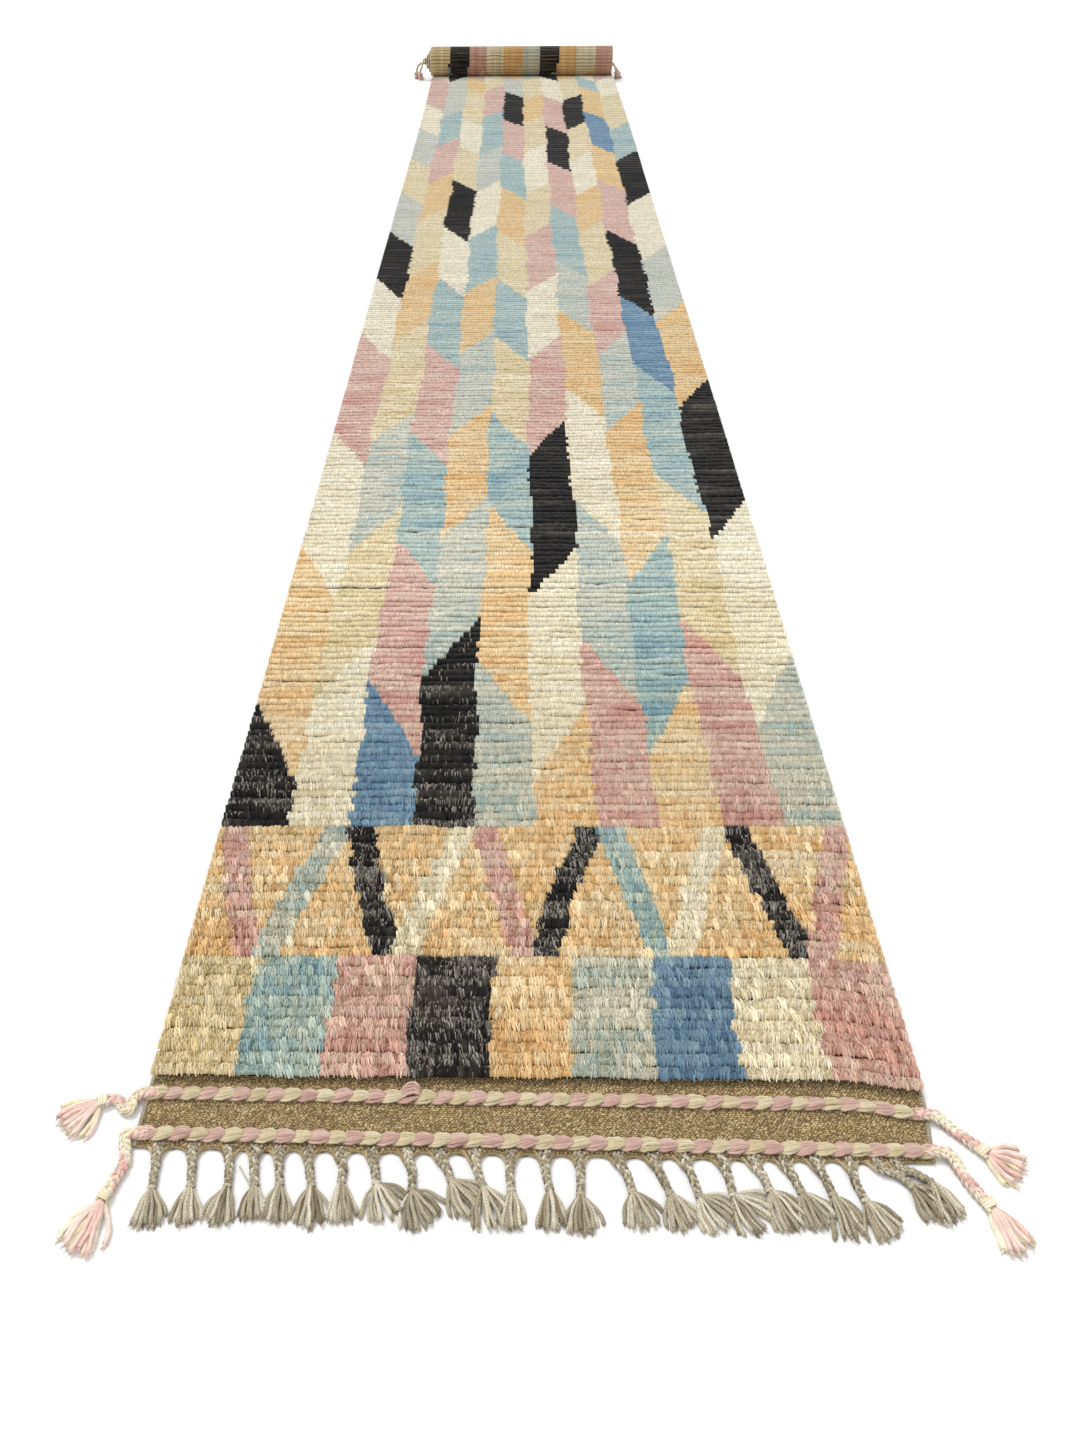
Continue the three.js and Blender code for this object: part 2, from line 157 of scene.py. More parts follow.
EDGE_X = np.linspace(-HALF, HALF, 801)
TO_TASSEL = np.abs(EDGE_X[:, None] - [0.001 * row[0] for row in TASSELS]).min(1)
EDGE_DIPS = 0.0034 * smooth(TO_TASSEL, 0.004, 0.016)  # the edge draws back between tassels


def lay(x, s, height):
    """Where points of the flat cloth lie: x across, s along and height above its back."""
    x, s, height = np.broadcast_arrays(*(np.asarray(v, float) for v in (x, s, height)))
    ahead = np.maximum(-s / KILIM_LENGTH, 0)
    slant = pile_edge(x) * (1 - smooth(s, 0, SLANT_LOST))
    front = slant + ahead * (cloth_end(x) - pile_edge(x))
    front = front + np.interp(x, EDGE_X, EDGE_DIPS) * smooth(-s, 0.72 * KILIM_LENGTH, KILIM_LENGTH)
    skew = ROLL_SKEW * x / HALF * smooth(s, 0.7 * FLAT_LENGTH, FLAT_LENGTH)
    angle = wound_angle(s)
    turns = angle / (2 * math.pi)
    radius = ROLL_RADIUS - ROLL_PITCH * turns - height
    y = np.clip(s, 0, FLAT_LENGTH) + front + skew + radius * np.sin(angle)
    z = ROLL_RADIUS - radius * np.cos(angle)
    narrowed = END_NARROWS * smooth(x, 0.75 * HALF, HALF) * smooth(-s, 0.2 * KILIM_LENGTH, KILIM_LENGTH)
    return np.stack([MIDDLE_X + x - narrowed + drift(s) + telescope(turns), FRONT_Y + y, z], -1)


CLOTH_END = along_at(ALL_TURNS)
PILE_END = along_at(PILE_TURNS)
WHOLE_LENGTH = CLOTH_END + KILIM_LENGTH
print(f"the whole cloth is {WHOLE_LENGTH:.3f} m long, {CLOTH_END - FLAT_LENGTH:.3f} m of it wound up")

# %% [markdown]
# ## Camera, floor and light
# The photograph looks down the runner from its fringe, so the far end shrinks to a quarter of the
# width. A single vanishing point and the rug's known width give the lens, the height and the
# tilt. The floor is plain white, and a wide soft sun from behind and the left draws the shadows.

# %% Camera
CAMERA_AHEAD = 0.63
CAMERA_HEIGHT = 1.043
CAMERA_SIDE = -0.0124
LOOKS_DOWN = 40.76
SENSOR = 36.0
FOCAL_PIXELS = 1100
PICTURE_HEIGHT = 1440
SHIFT_PIXELS = 17  # the vanishing point lies a little left of the picture's middle


def place_in_scene(thing):
    bpy.context.scene.collection.objects.link(thing)
    return thing


lens = bpy.data.cameras.new("camera")
camera = place_in_scene(bpy.data.objects.new("camera", lens))
bpy.context.scene.camera = camera
lens.sensor_width = SENSOR
lens.lens = SENSOR * FOCAL_PIXELS / PICTURE_HEIGHT
lens.shift_x = SHIFT_PIXELS / PICTURE_HEIGHT
camera.location = (MIDDLE_X + CAMERA_SIDE, FRONT_Y - CAMERA_AHEAD, CAMERA_HEIGHT)
camera.rotation_euler = (math.radians(90 - LOOKS_DOWN), 0, 0)
print(f"lens {lens.lens:.1f} mm, {CAMERA_HEIGHT} m above the floor")

# %% Floor, sun and sky
FLOOR_SIZE = 60.0
FLOOR_TONES = (0.93, 0.95)

floor_paint = bpy.data.materials.new("white_floor")
floor_paint.use_nodes = True
floor_tree = floor_paint.node_tree
floor_shine = floor_tree.nodes["Principled BSDF"]
floor_shine.inputs["Roughness"].default_value = 0.9
floor_shine.inputs["Specular IOR Level"].default_value = 0.1
floor_noise = floor_tree.nodes.new("ShaderNodeTexNoise")
floor_noise.inputs["Scale"].default_value = 3.0
floor_place = floor_tree.nodes.new("ShaderNodeTexCoord")
floor_tree.links.new(floor_place.outputs["Object"], floor_noise.inputs["Vector"])
floor_ramp = floor_tree.nodes.new("ShaderNodeValToRGB")
for element, tone in zip(floor_ramp.color_ramp.elements, FLOOR_TONES):
    element.color = (tone, tone, tone, 1)
floor_tree.links.new(floor_noise.outputs["Fac"], floor_ramp.inputs["Fac"])
floor_tree.links.new(floor_ramp.outputs["Color"], floor_shine.inputs["Base Color"])

floor_bm = bmesh.new()
bmesh.ops.create_grid(floor_bm, x_segments=1, y_segments=1, size=FLOOR_SIZE / 2)
floor_mesh = bpy.data.meshes.new("floor")
floor_bm.to_mesh(floor_mesh)
floor_bm.free()
floor_mesh.materials.append(floor_paint)
floor = place_in_scene(bpy.data.objects.new("floor", floor_mesh))


def soft_sun(name, energy, width, shines):
    """A sun that looks width degrees wide, and where it shines towards."""
    light = bpy.data.lights.new(name, "SUN")
    light.energy = energy
    light.angle = math.radians(width)
    sun = place_in_scene(bpy.data.objects.new(name, light))
    sun.rotation_euler = Vector(shines).to_track_quat("-Z", "Y").to_euler()


soft_sun("sun", 1.5, 22, (0.36, -0.46, -1.0))
soft_sun("fill", 0.35, 60, (-0.25, 0.8, -0.9))

studio = bpy.data.worlds.new("studio")
bpy.context.scene.world = studio
studio.use_nodes = True
studio_light = studio.node_tree.nodes["Background"]
studio_light.inputs["Color"].default_value = (1, 1, 1, 1)
studio_light.inputs["Strength"].default_value = 0.74
bpy.context.scene.view_settings.view_transform = "Standard"
print(f"white floor of {FLOOR_SIZE:.0f} m, two suns and a white sky")

# %% [markdown]
# ## Small shapes, repeated
# A rug is thousands of like strands. One short length of yarn is made with bmesh operators: a
# circle, extruded step by step and closed at its ends. Each strand is then a copy of it, bent along
# its own path. All the copies of a piece go into one mesh at once, through arrays, which takes a
# moment instead of minutes.

# %% A straight length of yarn, and how copies of a shape become one mesh
def read_shape(bm, is_tube=True):
    """The corners, faces and texture places of a small shape, as arrays that can be repeated."""
    if is_tube:
        bmesh.ops.recalc_face_normals(bm, faces=bm.faces)
    bm.verts.index_update()
    top = max(v.co.z for v in bm.verts) or 1
    top_y = max(v.co.y for v in bm.verts)
    atlas, turn = [], []
    for face in bm.faces:
        if not is_tube:
            turn += [v.co.x for v in face.verts]
            atlas += [(v.co.x, v.co.y / top_y) for v in face.verts]
            continue
        turns = [math.atan2(v.co.y, v.co.x) / math.tau % 1 for v in face.verts]
        if max(turns) - min(turns) > 0.5:
            turns = [t + (t < 0.5) for t in turns]
        is_cap = abs(face.normal.z) > 0.9
        for t, v in zip(turns, face.verts):
            turn.append(t)
            if is_cap:
                atlas.append((0.5 + 0.4 * v.co.x, 0.93 + 0.05 * v.co.y))
            else:
                atlas.append((t / 1.3, 0.86 * v.co.z / top))
    shape = {
        "corners": np.array([v.co[:] for v in bm.verts]),
        "loops": np.array([v.index for f in bm.faces for v in f.verts]),
        "sizes": np.array([len(f.verts) for f in bm.faces]),
        "atlas": np.array(atlas),
        "turn": np.array(turn),
    }
    bm.free()
    return shape


def straight_yarn(sides, steps, open_start=False):
    """A tube of radius 1 whose corners stand at heights 0, 1, 2 and so on."""
    bm = bmesh.new()
    bmesh.ops.create_circle(bm, cap_ends=False, segments=sides, radius=1)
    start = list(bm.edges)
    ring = start
    for _ in range(steps - 1):
        made = bmesh.ops.extrude_edge_only(bm, edges=ring)["geom"]
        bmesh.ops.translate(bm, vec=(0, 0, 1), verts=[g for g in made if isinstance(g, bmesh.types.BMVert)])
        ring = [g for g in made if isinstance(g, bmesh.types.BMEdge)]
    bmesh.ops.contextual_create(bm, geom=ring)
    if not open_start:
        bmesh.ops.contextual_create(bm, geom=start)
    return read_shape(bm)


def repeat(name, parts, material):
    """One piece made of copies. Each part holds a shape, the corners and colours of its copies
    and, for yarn, how far along each corner lies."""
    count = sum(len(p["points"]) for p in parts)
    cells = math.ceil(math.sqrt(count))
    corners, loops, sizes, colours, atlas, yarn = [], [], [], [], [], []
    done, copies = 0, 0
    for part in parts:
        shape, points = part["shape"], part["points"]
        number, per_copy = points.shape[:2]
        first = done + per_copy * np.arange(number)[:, None]
        corners.append(points.reshape(-1, 3))
        loops.append((first + shape["loops"]).ravel())
        sizes.append(np.tile(shape["sizes"], number))
        colours.append(np.broadcast_to(part["colours"], points.shape).reshape(-1, 3))
        cell = copies + np.arange(number)
        place = np.stack([cell % cells, cell // cells], -1)[:, None, :]
        atlas.append(((place + 0.04 + 0.92 * shape["atlas"]) / cells).reshape(-1, 2))
        along = part.get("along")
        far = np.zeros((number, len(shape["loops"]))) if along is None else along[:, shape["loops"]]
        round_yarn = shape["turn"] + part.get("spin", 0) + np.zeros_like(far)
        yarn.append(np.stack([round_yarn, far], -1).reshape(-1, 2))
        done += number * per_copy
        copies += number
    corners, loops, sizes = (np.concatenate(a) for a in (corners, loops, sizes))
    mesh = bpy.data.meshes.new(name)
    mesh.vertices.add(len(corners))
    mesh.vertices.foreach_set("co", corners.astype(np.float32).ravel())
    mesh.loops.add(len(loops))
    mesh.loops.foreach_set("vertex_index", loops.astype(np.int32))
    mesh.polygons.add(len(sizes))
    mesh.polygons.foreach_set("loop_start", (np.cumsum(sizes) - sizes).astype(np.int32))
    mesh.polygons.foreach_set("use_smooth", np.ones(len(sizes), bool))
    mesh.update(calc_edges=True)
    for layer, places in (("yarn", yarn), ("OFBake", atlas)):
        uv = mesh.uv_layers.new(name=layer, do_init=False)
        uv.uv.foreach_set("vector", np.concatenate(places).astype(np.float32).ravel())
    colour = mesh.color_attributes.new(name="wool", type="FLOAT_COLOR", domain="POINT")
    shades = np.concatenate(colours)
    shades = np.concatenate([shades, np.ones((len(shades), 1))], 1)
    colour.data.foreach_set("color", shades.astype(np.float32).ravel())
    mesh.materials.append(material)
    piece = place_in_scene(bpy.data.objects.new(name, mesh))
    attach(piece, "root")
    print(f"{name}: {copies} copies, {int((sizes - 2).sum())} triangles")
    return piece


# %% [markdown]
# Yarn that is bent along a path needs a ring of corners round each point of it. The ring stands
# square to the path, which is what the two cross products below work out. A plait or a hanging tail
# says which way counts as up, since a path that runs straight up has no side otherwise.

# %% Yarn along paths
SHAPES = {}
LOWEST = 0.0002  # yarn that lies on the floor is pressed flat at this height


def yarn_shape(sides, steps):
    if (sides, steps) not in SHAPES:
        SHAPES[sides, steps] = straight_yarn(sides, steps)
    return SHAPES[sides, steps]


def unit(vectors):
    return vectors / np.maximum(np.linalg.norm(vectors, axis=-1, keepdims=True), 1e-9)


def yarns(paths, radius, colours, sides=5, upright=(0.0, 0.0, 1.0)):
    """Lengths of yarn along paths, given as strands by points by 3. The radius may vary."""
    paths = np.asarray(paths, float)
    number, steps = paths.shape[:2]
    shape = yarn_shape(sides, steps)
    run = unit(np.gradient(paths, axis=1))
    side = unit(np.cross(run, np.array(upright)))
    over = np.cross(side, run)
    step = shape["corners"][:, 2].round().astype(int)
    radius = np.broadcast_to(radius, (number, steps))[:, step, None]
    spread = side[:, step] * shape["corners"][:, 0, None] + over[:, step] * shape["corners"][:, 1, None]
    lengths = np.linalg.norm(np.diff(paths, axis=1), axis=-1)
    along = np.concatenate([np.zeros((number, 1)), np.cumsum(lengths, 1)], 1)[:, step]
    shades = np.asarray(colours, float)
    shades = np.repeat(shades[:, None, :], len(step), 1) if shades.ndim == 2 else shades[:, step]
    points = paths[:, step] + spread * radius
    points[..., 2] = np.maximum(points[..., 2], LOWEST)
    return {"shape": shape, "points": points, "colours": shades, "along": along}


def curve_through(points, count):
    """A smooth path of count points through a few given ones (a Catmull-Rom curve)."""
    points = np.asarray(points, float)
    padded = np.concatenate([[2 * points[0] - points[1]], points, [2 * points[-1] - points[-2]]])
    place = np.linspace(0, len(points) - 1 - 1e-9, count)
    k = place.astype(int)
    t = (place - k)[:, None]
    a, b, c, d = padded[k], padded[k + 1], padded[k + 2], padded[k + 3]
    return 0.5 * (2 * b + (c - a) * t + (2 * a - 5 * b + 4 * c - d) * t**2 + (3 * b - a - 3 * c + d) * t**3)


# %% [markdown]
# ## Wool
# Hand-spun wool takes dye unevenly. A weaver calls the bands of lighter and darker yarn abrash.
# Each wool below has its main tone and the tones that its batches stray to. Every knot and strand
# gets its own mix of them, stored as a colour attribute on the mesh, which the material reads.

# %% The wools and their tones
WOOLS = {
    "cream": [(243, 235, 212), (248, 243, 227), (234, 223, 195)],
    "sand": [(233, 219, 184), (242, 231, 203), (222, 204, 160)],
    "gold": [(239, 214, 172), (243, 226, 196), (235, 196, 142)],
    "pink": [(223, 190, 179), (231, 206, 192), (211, 164, 153)],
    "mist": [(208, 210, 198), (224, 221, 206), (178, 196, 194)],
    "sky": [(177, 198, 196), (199, 211, 203), (144, 175, 187)],
    "blue": [(124, 156, 182), (148, 177, 196), (98, 131, 164)],
    "charcoal": [(38, 35, 34), (88, 84, 78), (24, 22, 22)],
}
KILIM_TONES = [(204, 182, 138), (228, 210, 166), (180, 156, 112), (146, 124, 86)]
FRINGE_TONES = [(200, 189, 164), (228, 219, 198), (170, 156, 128), (132, 118, 92)]
BRAID_PINK = [(208, 174, 160), (220, 190, 174), (196, 154, 142)]
BRAID_CREAM = [(215, 200, 164), (226, 213, 182), (200, 183, 142)]
TAIL_PINK = [(242, 212, 198), (246, 224, 210), (232, 180, 168)]
TAIL_CREAM = [(246, 236, 206), (250, 244, 224), (236, 222, 182)]
SELVEDGE_TONES = [(224, 214, 190), (238, 230, 212), (196, 184, 156)]
HUE_IN_SHADE = 1.3  # how much deeper wool in shade looks in colour


def linear(tones):
    """Colours from 0 to 255 as a screen shows them, turned into amounts of light."""
    share = np.asarray(tones, float) / 255
    return np.where(share <= 0.04045, share / 12.92, ((share + 0.055) / 1.055) ** 2.4)


def mixed(tones, stray, rng, count):
    """Count colours: the main tone, strayed at random towards the others."""
    tones = linear(tones)
    other = tones[rng.integers(1, len(tones), count)]
    share = stray * rng.random((count, 1))
    return tones[0] * (1 - share) + other * share


def shaded(tones, light):
    """Wool in less light. It also looks deeper in colour, since light bounces between the fibres."""
    light = np.asarray(light)[..., None]
    hue = tones / tones.max(-1, keepdims=True)
    return tones * light * hue ** (HUE_IN_SHADE * np.clip(1 - light, 0, 1))


# %% [markdown]
# The material adds what is too small for a colour on each knot: fibres that catch the light, and
# the twist of a spun yarn. Wool is rough, with a faint sheen, which is set on the shader itself.

# %% Wool materials
BUMP_DISTANCE = 0.0006


def wool_material(
    name, fibre=1400.0, speck=0.16, relief=0.5, twist=None, sheen=0.25, streaks=None, fuzz=0.26, fleck=0.0
):
    """Wool whose colour is the mesh's own attribute, with fibres and, for spun yarn, a twist.
    Fibre and streaks set how fine the noise is, speck, fuzz and fleck how far it strays in tone."""
    material = bpy.data.materials.new(name)
    material.use_nodes = True
    tree = material.node_tree
    shine = tree.nodes["Principled BSDF"]
    shine.inputs["Sheen Weight"].default_value = sheen
    shine.inputs["Sheen Roughness"].default_value = 0.6
    shine.inputs["Specular IOR Level"].default_value = 0.15

    def node(kind, **values):
        """A node with its settings. A value that is another node's output is linked."""
        made = tree.nodes.new("ShaderNode" + kind)
        for key, value in values.items():
            socket = int(key[1:]) if key[0] == "i" and key[1:].isdigit() else key.replace("_", " ")
            if hasattr(made, key):
                setattr(made, key, value)
            elif isinstance(value, bpy.types.NodeSocket):
                tree.links.new(value, made.inputs[socket])
            else:
                made.inputs[socket].default_value = value
        return made

    def ranged(value, low, high, to_low, to_high, **values):
        limits = {"From_Min": low, "From_Max": high, "To_Min": to_low, "To_Max": to_high}
        return node("MapRange", Value=value, **limits, **values).outputs["Result"]

    def maths(operation, **values):
        return node("Math", operation=operation, **values).outputs[0]

    own = node("Attribute", attribute_name="wool").outputs["Color"]
    place = node("TexCoord").outputs["Object"]
    fine = node("TexNoise", Vector=place, Scale=fibre, Detail=3.0, Roughness=0.65).outputs["Fac"]
    height, factor = fine, ranged(fine, 0.25, 0.75, 1 - speck, 1 + speck)
    if streaks or twist:
        yarn_map = node("UVMap", uv_map="yarn").outputs["UV"]
    if streaks:
        finer = (streaks, 90.0, 1.0)
        drawn = node("VectorMath", operation="MULTIPLY", i0=yarn_map, i1=finer).outputs["Vector"]
        lines = node("TexNoise", Vector=drawn, Scale=1.0, Detail=2.0, Roughness=0.6).outputs["Fac"]
        line_tones = ranged(lines, 0.3, 0.7, 0.96 - fuzz, 0.96 + fuzz)
        factor = maths("MULTIPLY", i0=factor, i1=line_tones)
        height = maths("MULTIPLY_ADD", i0=fine, i1=0.35, i2=lines)
    if twist:
        parts = node("SeparateXYZ", Vector=yarn_map)
        wound = maths("MULTIPLY_ADD", i0=parts.outputs["Y"], i1=1 / twist, i2=parts.outputs["X"])
        doubled = maths("MULTIPLY", i0=wound, i1=2.0)
        wave = maths("PINGPONG", i0=doubled, i1=0.5)
        groove = ranged(wave, 0.0, 0.28, 0.76, 1.0, interpolation_type="SMOOTHSTEP")
        factor = maths("MULTIPLY", i0=groove, i1=factor)
        height = maths("MULTIPLY_ADD", i0=fine, i1=0.5, i2=groove)
    painted = node("VectorMath", operation="SCALE", i0=own, Scale=factor).outputs["Vector"]
    if fleck:
        pale = ranged(lines, 0.58, 0.72, 0.0, fleck)
        painted = node("VectorMath", operation="ADD", i0=painted, i1=pale).outputs["Vector"]
    tree.links.new(painted, shine.inputs["Base Color"])
    bump = node("Bump", Strength=relief, Distance=BUMP_DISTANCE, Height=height)
    tree.links.new(bump.outputs["Normal"], shine.inputs["Normal"])
    tree.links.new(ranged(fine, 0.0, 1.0, 0.86, 1.0), shine.inputs["Roughness"])
    print(f"{name}: {len(tree.nodes)} nodes")
    return material


PILE_WOOL = wool_material(
    "pile_wool", fibre=900.0, speck=0.20, relief=0.8, sheen=0.10, streaks=4.0, fuzz=0.42, fleck=0.05
)
BACK_WOOL = wool_material("rug_back", fibre=500.0, speck=0.18, relief=0.8, sheen=0.1)
KILIM_WOOL = wool_material("kilim_wool", fibre=1200.0, speck=0.2, relief=0.6, sheen=0.1)
BRAID_WOOL = wool_material("braid_wool", fibre=1600.0, speck=0.10, relief=0.5, streaks=6.0)
FRINGE_WOOL = wool_material("fringe_wool", fibre=750.0, speck=0.48, relief=0.7, twist=0.006, sheen=0.1)
SELVEDGE_WOOL = wool_material("selvedge_wool", fibre=1300.0, speck=0.15, relief=0.5, sheen=0.1)

# %% [markdown]
# ## The design in the knots
# Each knot is one dot of the design. Ours is a common one for a runner: a row of plain blocks
# along the front, a running zigzag, and then a herringbone of slanted blocks in ten columns, whose
# ends lean left and right in turn. The colours are picked by a rule: no block has the colour of a
# neighbour, and the dark ones keep their distance.

# %% Work out the colour name of every knot
KNOTS_ACROSS = 150
COLUMNS = 10
KNOTS_A_COLUMN = KNOTS_ACROSS // COLUMNS
ROW = 0.0137
KNOT = 2 * HALF / KNOTS_ACROSS
FLAT_ROWS = int(FLAT_LENGTH / ROW)
ALL_ROWS = int(PILE_END / ROW)
FRONT_BLOCKS = ["sand", "sky", "pink", "charcoal", "gold", "mist", "blue", "cream", "pink"]
BLOCKS_END = 0.154
ZIGZAG_END = 0.362
ZIGZAG_LIMBS = ["pink", "mist", "charcoal", "cream", "pink", "charcoal", "sky", "cream", "charcoal", "pink"]
ZIGZAG_REACH = 0.030
ZIGZAG_WIDTH = 0.034
BLOCK_LENGTH = 0.46
# One block of each column covers the roll's visible back
ROLL_SHOWS = (FLAT_LENGTH - 0.09, FLAT_LENGTH + 0.36)
ROLL_WOOLS = ["sand", "charcoal", "pink", "cream", "gold", "mist", "charcoal", "gold", "cream", "pink"]
SHORTEST_BLOCK = 0.15
NAMES = list(WOOLS)
SHARES = {"cream": 23, "sand": 20, "gold": 14, "pink": 14, "mist": 14, "sky": 11, "blue": 3, "charcoal": 12}

design_rng = np.random.default_rng(9)
knot_x = (np.arange(KNOTS_ACROSS) + 0.5) * KNOT - HALF
row_s = (np.arange(ALL_ROWS) + 0.5) * ROW


def column_blocks():
    """For each column, the places where its blocks end and the wool of each block."""
    columns = []
    for column in range(COLUMNS):
        end = ZIGZAG_END + (0.16 + 0.22 * (column * 3 % 5) / 4)
        ends, wools, start = [], [], 0.0
        while start < PILE_END:
            beside = set()
            if columns:
                for other_end, other_wool, other_start in columns[-1]:
                    if other_start < end and other_end > start:
                        beside.add(other_wool)
            recent = wools[-3:]
            rough = {n: SHARES[n] for n in NAMES if n not in beside and n not in wools[-1:]}
            if "charcoal" in recent or "charcoal" in beside:
                rough.pop("charcoal", None)
            if end == ROLL_SHOWS[0]:
                rough.pop(ROLL_WOOLS[column], None)
            names = list(rough)
            weight = np.array([rough[n] for n in names], float)
            wools.append(names[design_rng.choice(len(names), p=weight / weight.sum())])
            if end == ROLL_SHOWS[1]:
                wools[-1] = ROLL_WOOLS[column]
            ends.append((end, wools[-1], start))
            start = end
            end = start + BLOCK_LENGTH * design_rng.uniform(0.82, 1.2)
            if start == ROLL_SHOWS[0]:
                end = ROLL_SHOWS[1]
            elif start < ROLL_SHOWS[0] and end > ROLL_SHOWS[0] - SHORTEST_BLOCK:
                end = ROLL_SHOWS[0]
        columns.append(ends)
    return columns


def design():
    """The index of each knot's wool, rows by knots."""
    x, s = np.meshgrid(knot_x, row_s)
    ragged = design_rng.normal(0, 0.25, (ALL_ROWS, KNOTS_ACROSS)) * KNOT
    ragged = ragged * (1 - 0.9 * smooth(s, FLAT_LENGTH - 0.1, FLAT_LENGTH))
    x = x + ragged + 0.0035 * np.sin(s * 9 + 1.3) + 0.002 * np.sin(s * 31)
    wool = np.zeros(x.shape, int)
    for column, blocks in enumerate(column_blocks()):
        left = -HALF + 2 * HALF * column / COLUMNS
        across = (x - left) / (2 * HALF / COLUMNS)
        inside = (across >= 0) & (across < 1)
        if column == 0:
            inside |= across < 0
        if column == COLUMNS - 1:
            inside |= across >= 1
        lean = 1 if column % 2 else -1
        rise = lean * (0.17 - 0.05 * s / FLAT_LENGTH) * (across - 0.5)
        ends = np.array([end for end, _, _ in blocks])
        wools = np.array([NAMES.index(name) for _, name, _ in blocks])
        which = np.searchsorted(ends, (s - rise)[inside]).clip(0, len(blocks) - 1)
        wool[inside] = wools[which]
    band = (s >= BLOCKS_END) & (s < ZIGZAG_END)
    wool[band] = NAMES.index("gold")
    limb_width = 2 * HALF / len(ZIGZAG_LIMBS)
    for limb, name in enumerate(ZIGZAG_LIMBS):
        middle = -HALF + limb_width * (limb + 0.5)
        lean = 1 if limb % 2 else -1
        share = (s - BLOCKS_END) / (ZIGZAG_END - BLOCKS_END) - 0.5
        line = middle + lean * 2 * ZIGZAG_REACH * share
        wool[band & (np.abs(x - line) < ZIGZAG_WIDTH / 2)] = NAMES.index(name)
    front = s < BLOCKS_END
    block = ((x + HALF) / (2 * HALF) * len(FRONT_BLOCKS)).astype(int).clip(0, len(FRONT_BLOCKS) - 1)
    wool[front] = np.array([NAMES.index(n) for n in FRONT_BLOCKS])[block[front]]
    return wool


wool_of_knot = design()
for k, name in enumerate(NAMES):
    print(f"{name}: {100 * (wool_of_knot == k).mean():.0f} % of the knots")

# %% [markdown]
# The tones within a block stray slowly across a row and jump from row to row, because each row
# uses the next length of yarn. Two grids of smoothed chance numbers give that.

# %% Tone of every knot
def cloudy(rows, knots, rows_each, knots_each, rng):
    """Smoothed chance numbers, mostly between -1 and 1, on a grid of rows by knots."""
    coarse = rng.normal(0, 0.6, (int(rows / rows_each) + 3, int(knots / knots_each) + 3))
    at_knots = np.arange(knots) / knots_each
    wide = np.array([np.interp(at_knots, np.arange(coarse.shape[1]), line) for line in coarse])
    at_rows = np.arange(rows) / rows_each
    return np.array([np.interp(at_rows, np.arange(len(wide)), line) for line in wide.T]).T


# Painted light along the cloth: the knots' colours are scaled by how far along they lie, warmer at the
# front and darker further on, for how the light falls along the runner
LIGHT_ALONG_CLOTH = {
    "along": [0, 0.2, 0.6, 1.4, 2.0, 2.8, 4.9],
    "r": [0.99, 0.98, 0.95, 0.88, 0.85, 0.87, 0.86],
    "g": [0.94, 0.95, 0.94, 0.87, 0.85, 0.87, 0.86],
    "b": [0.84, 0.86, 0.89, 0.85, 0.84, 0.87, 0.85],
}

GOLD_FURTHER_ON = np.array([0.96, 0.90, 0.80])
# Charcoal wool is heathered: its rows are blacker and greyer in turn. The same grid sets how deep the
# painted shade of the ridges is, patch by patch
HEATHER_AND_SHADE = cloudy(ALL_ROWS, KNOTS_ACROSS, 1, 12, np.random.default_rng(23))


def knot_colours():
    rng = np.random.default_rng(7)
    shape = wool_of_knot.shape
    by_row = cloudy(*shape, 1, 22, rng)
    by_patch = cloudy(*shape, 3, 9, rng)
    by_knot = rng.normal(0, 0.45, shape)
    stray = 0.75 * by_row + 0.6 * by_patch + by_knot * (1 - 0.7 * smooth(row_s, 0.2, 0.8))[:, None]
    stray = stray * (1 - 0.6 * smooth(row_s, 1.2, 3.2))[:, None]
    colours = np.zeros((*shape, 3))
    for k, name in enumerate(NAMES):
        main, light, dark = linear(WOOLS[name])
        up = np.clip(stray, 0, 1)[..., None]
        down = np.clip(-stray, 0, 1)[..., None]
        shade = main + up * (light - main) + down * (dark - main)
        colours[wool_of_knot == k] = shade[wool_of_knot == k]
    banded = 1 + smooth(row_s, 0.1, 0.4)[:, None] * (np.clip(0.62 + 0.6 * HEATHER_AND_SHADE, 0.25, 1.4) - 1)
    is_charcoal = wool_of_knot == NAMES.index("charcoal")
    colours[is_charcoal] *= banded[is_charcoal][:, None]
    deeper = 1 - smooth(row_s, 0.9, 1.5)[:, None, None] * (1 - GOLD_FURTHER_ON)
    colours = np.where((wool_of_knot == NAMES.index("gold"))[..., None], colours * deeper, colours)
    # Each row is scaled by the painted light along the cloth
    light_along = np.stack([np.interp(row_s, LIGHT_ALONG_CLOTH["along"], LIGHT_ALONG_CLOTH[c]) for c in "rgb"], 1)
    return colours * light_along[:, None] * (1 + 0.06 * cloudy(*shape, 1, 40, rng))[..., None]


colour_of_knot = knot_colours()

# %% [markdown]
# ## The cloth itself
# Under the pile is the ground of warps and wefts, one sheet from the front edge to the far end
# inside the roll. It starts as a bmesh grid with a column of cells for each knot, gets its
# thickness by extrusion and is then laid. On the roll the back shows, where each knot is a short
# rib of its own colour, so each of its cells is painted with the colour of the knot behind it.

# %% The ground cloth
END_STEPS = [-KILIM_LENGTH, -0.083, -0.078, -0.07, -0.04, 0.0]
FLAT_STEPS = [*np.arange(0.1, 0.5, 0.1), *np.arange(0.5, 4.9, 0.22), 4.93]
SHOWN_ROWS = FLAT_ROWS + 32  # the rows on the outside of the roll
CLOTH_COLUMNS = KNOTS_ACROSS // 2
BACK_LIGHT = 0.66  # painted shade on the back, which faces away from the light and is also flatter and duller than the pile
BACK_HUE = np.array([1.0, 0.93, 0.84])
BACK_WAVER = 0.0022
WARPS = (96, 82, 58)  # they show between the rows on the back
BACK_RIB = 0.64  # the share of a row that its knots take up on the back; the wefts have the rest


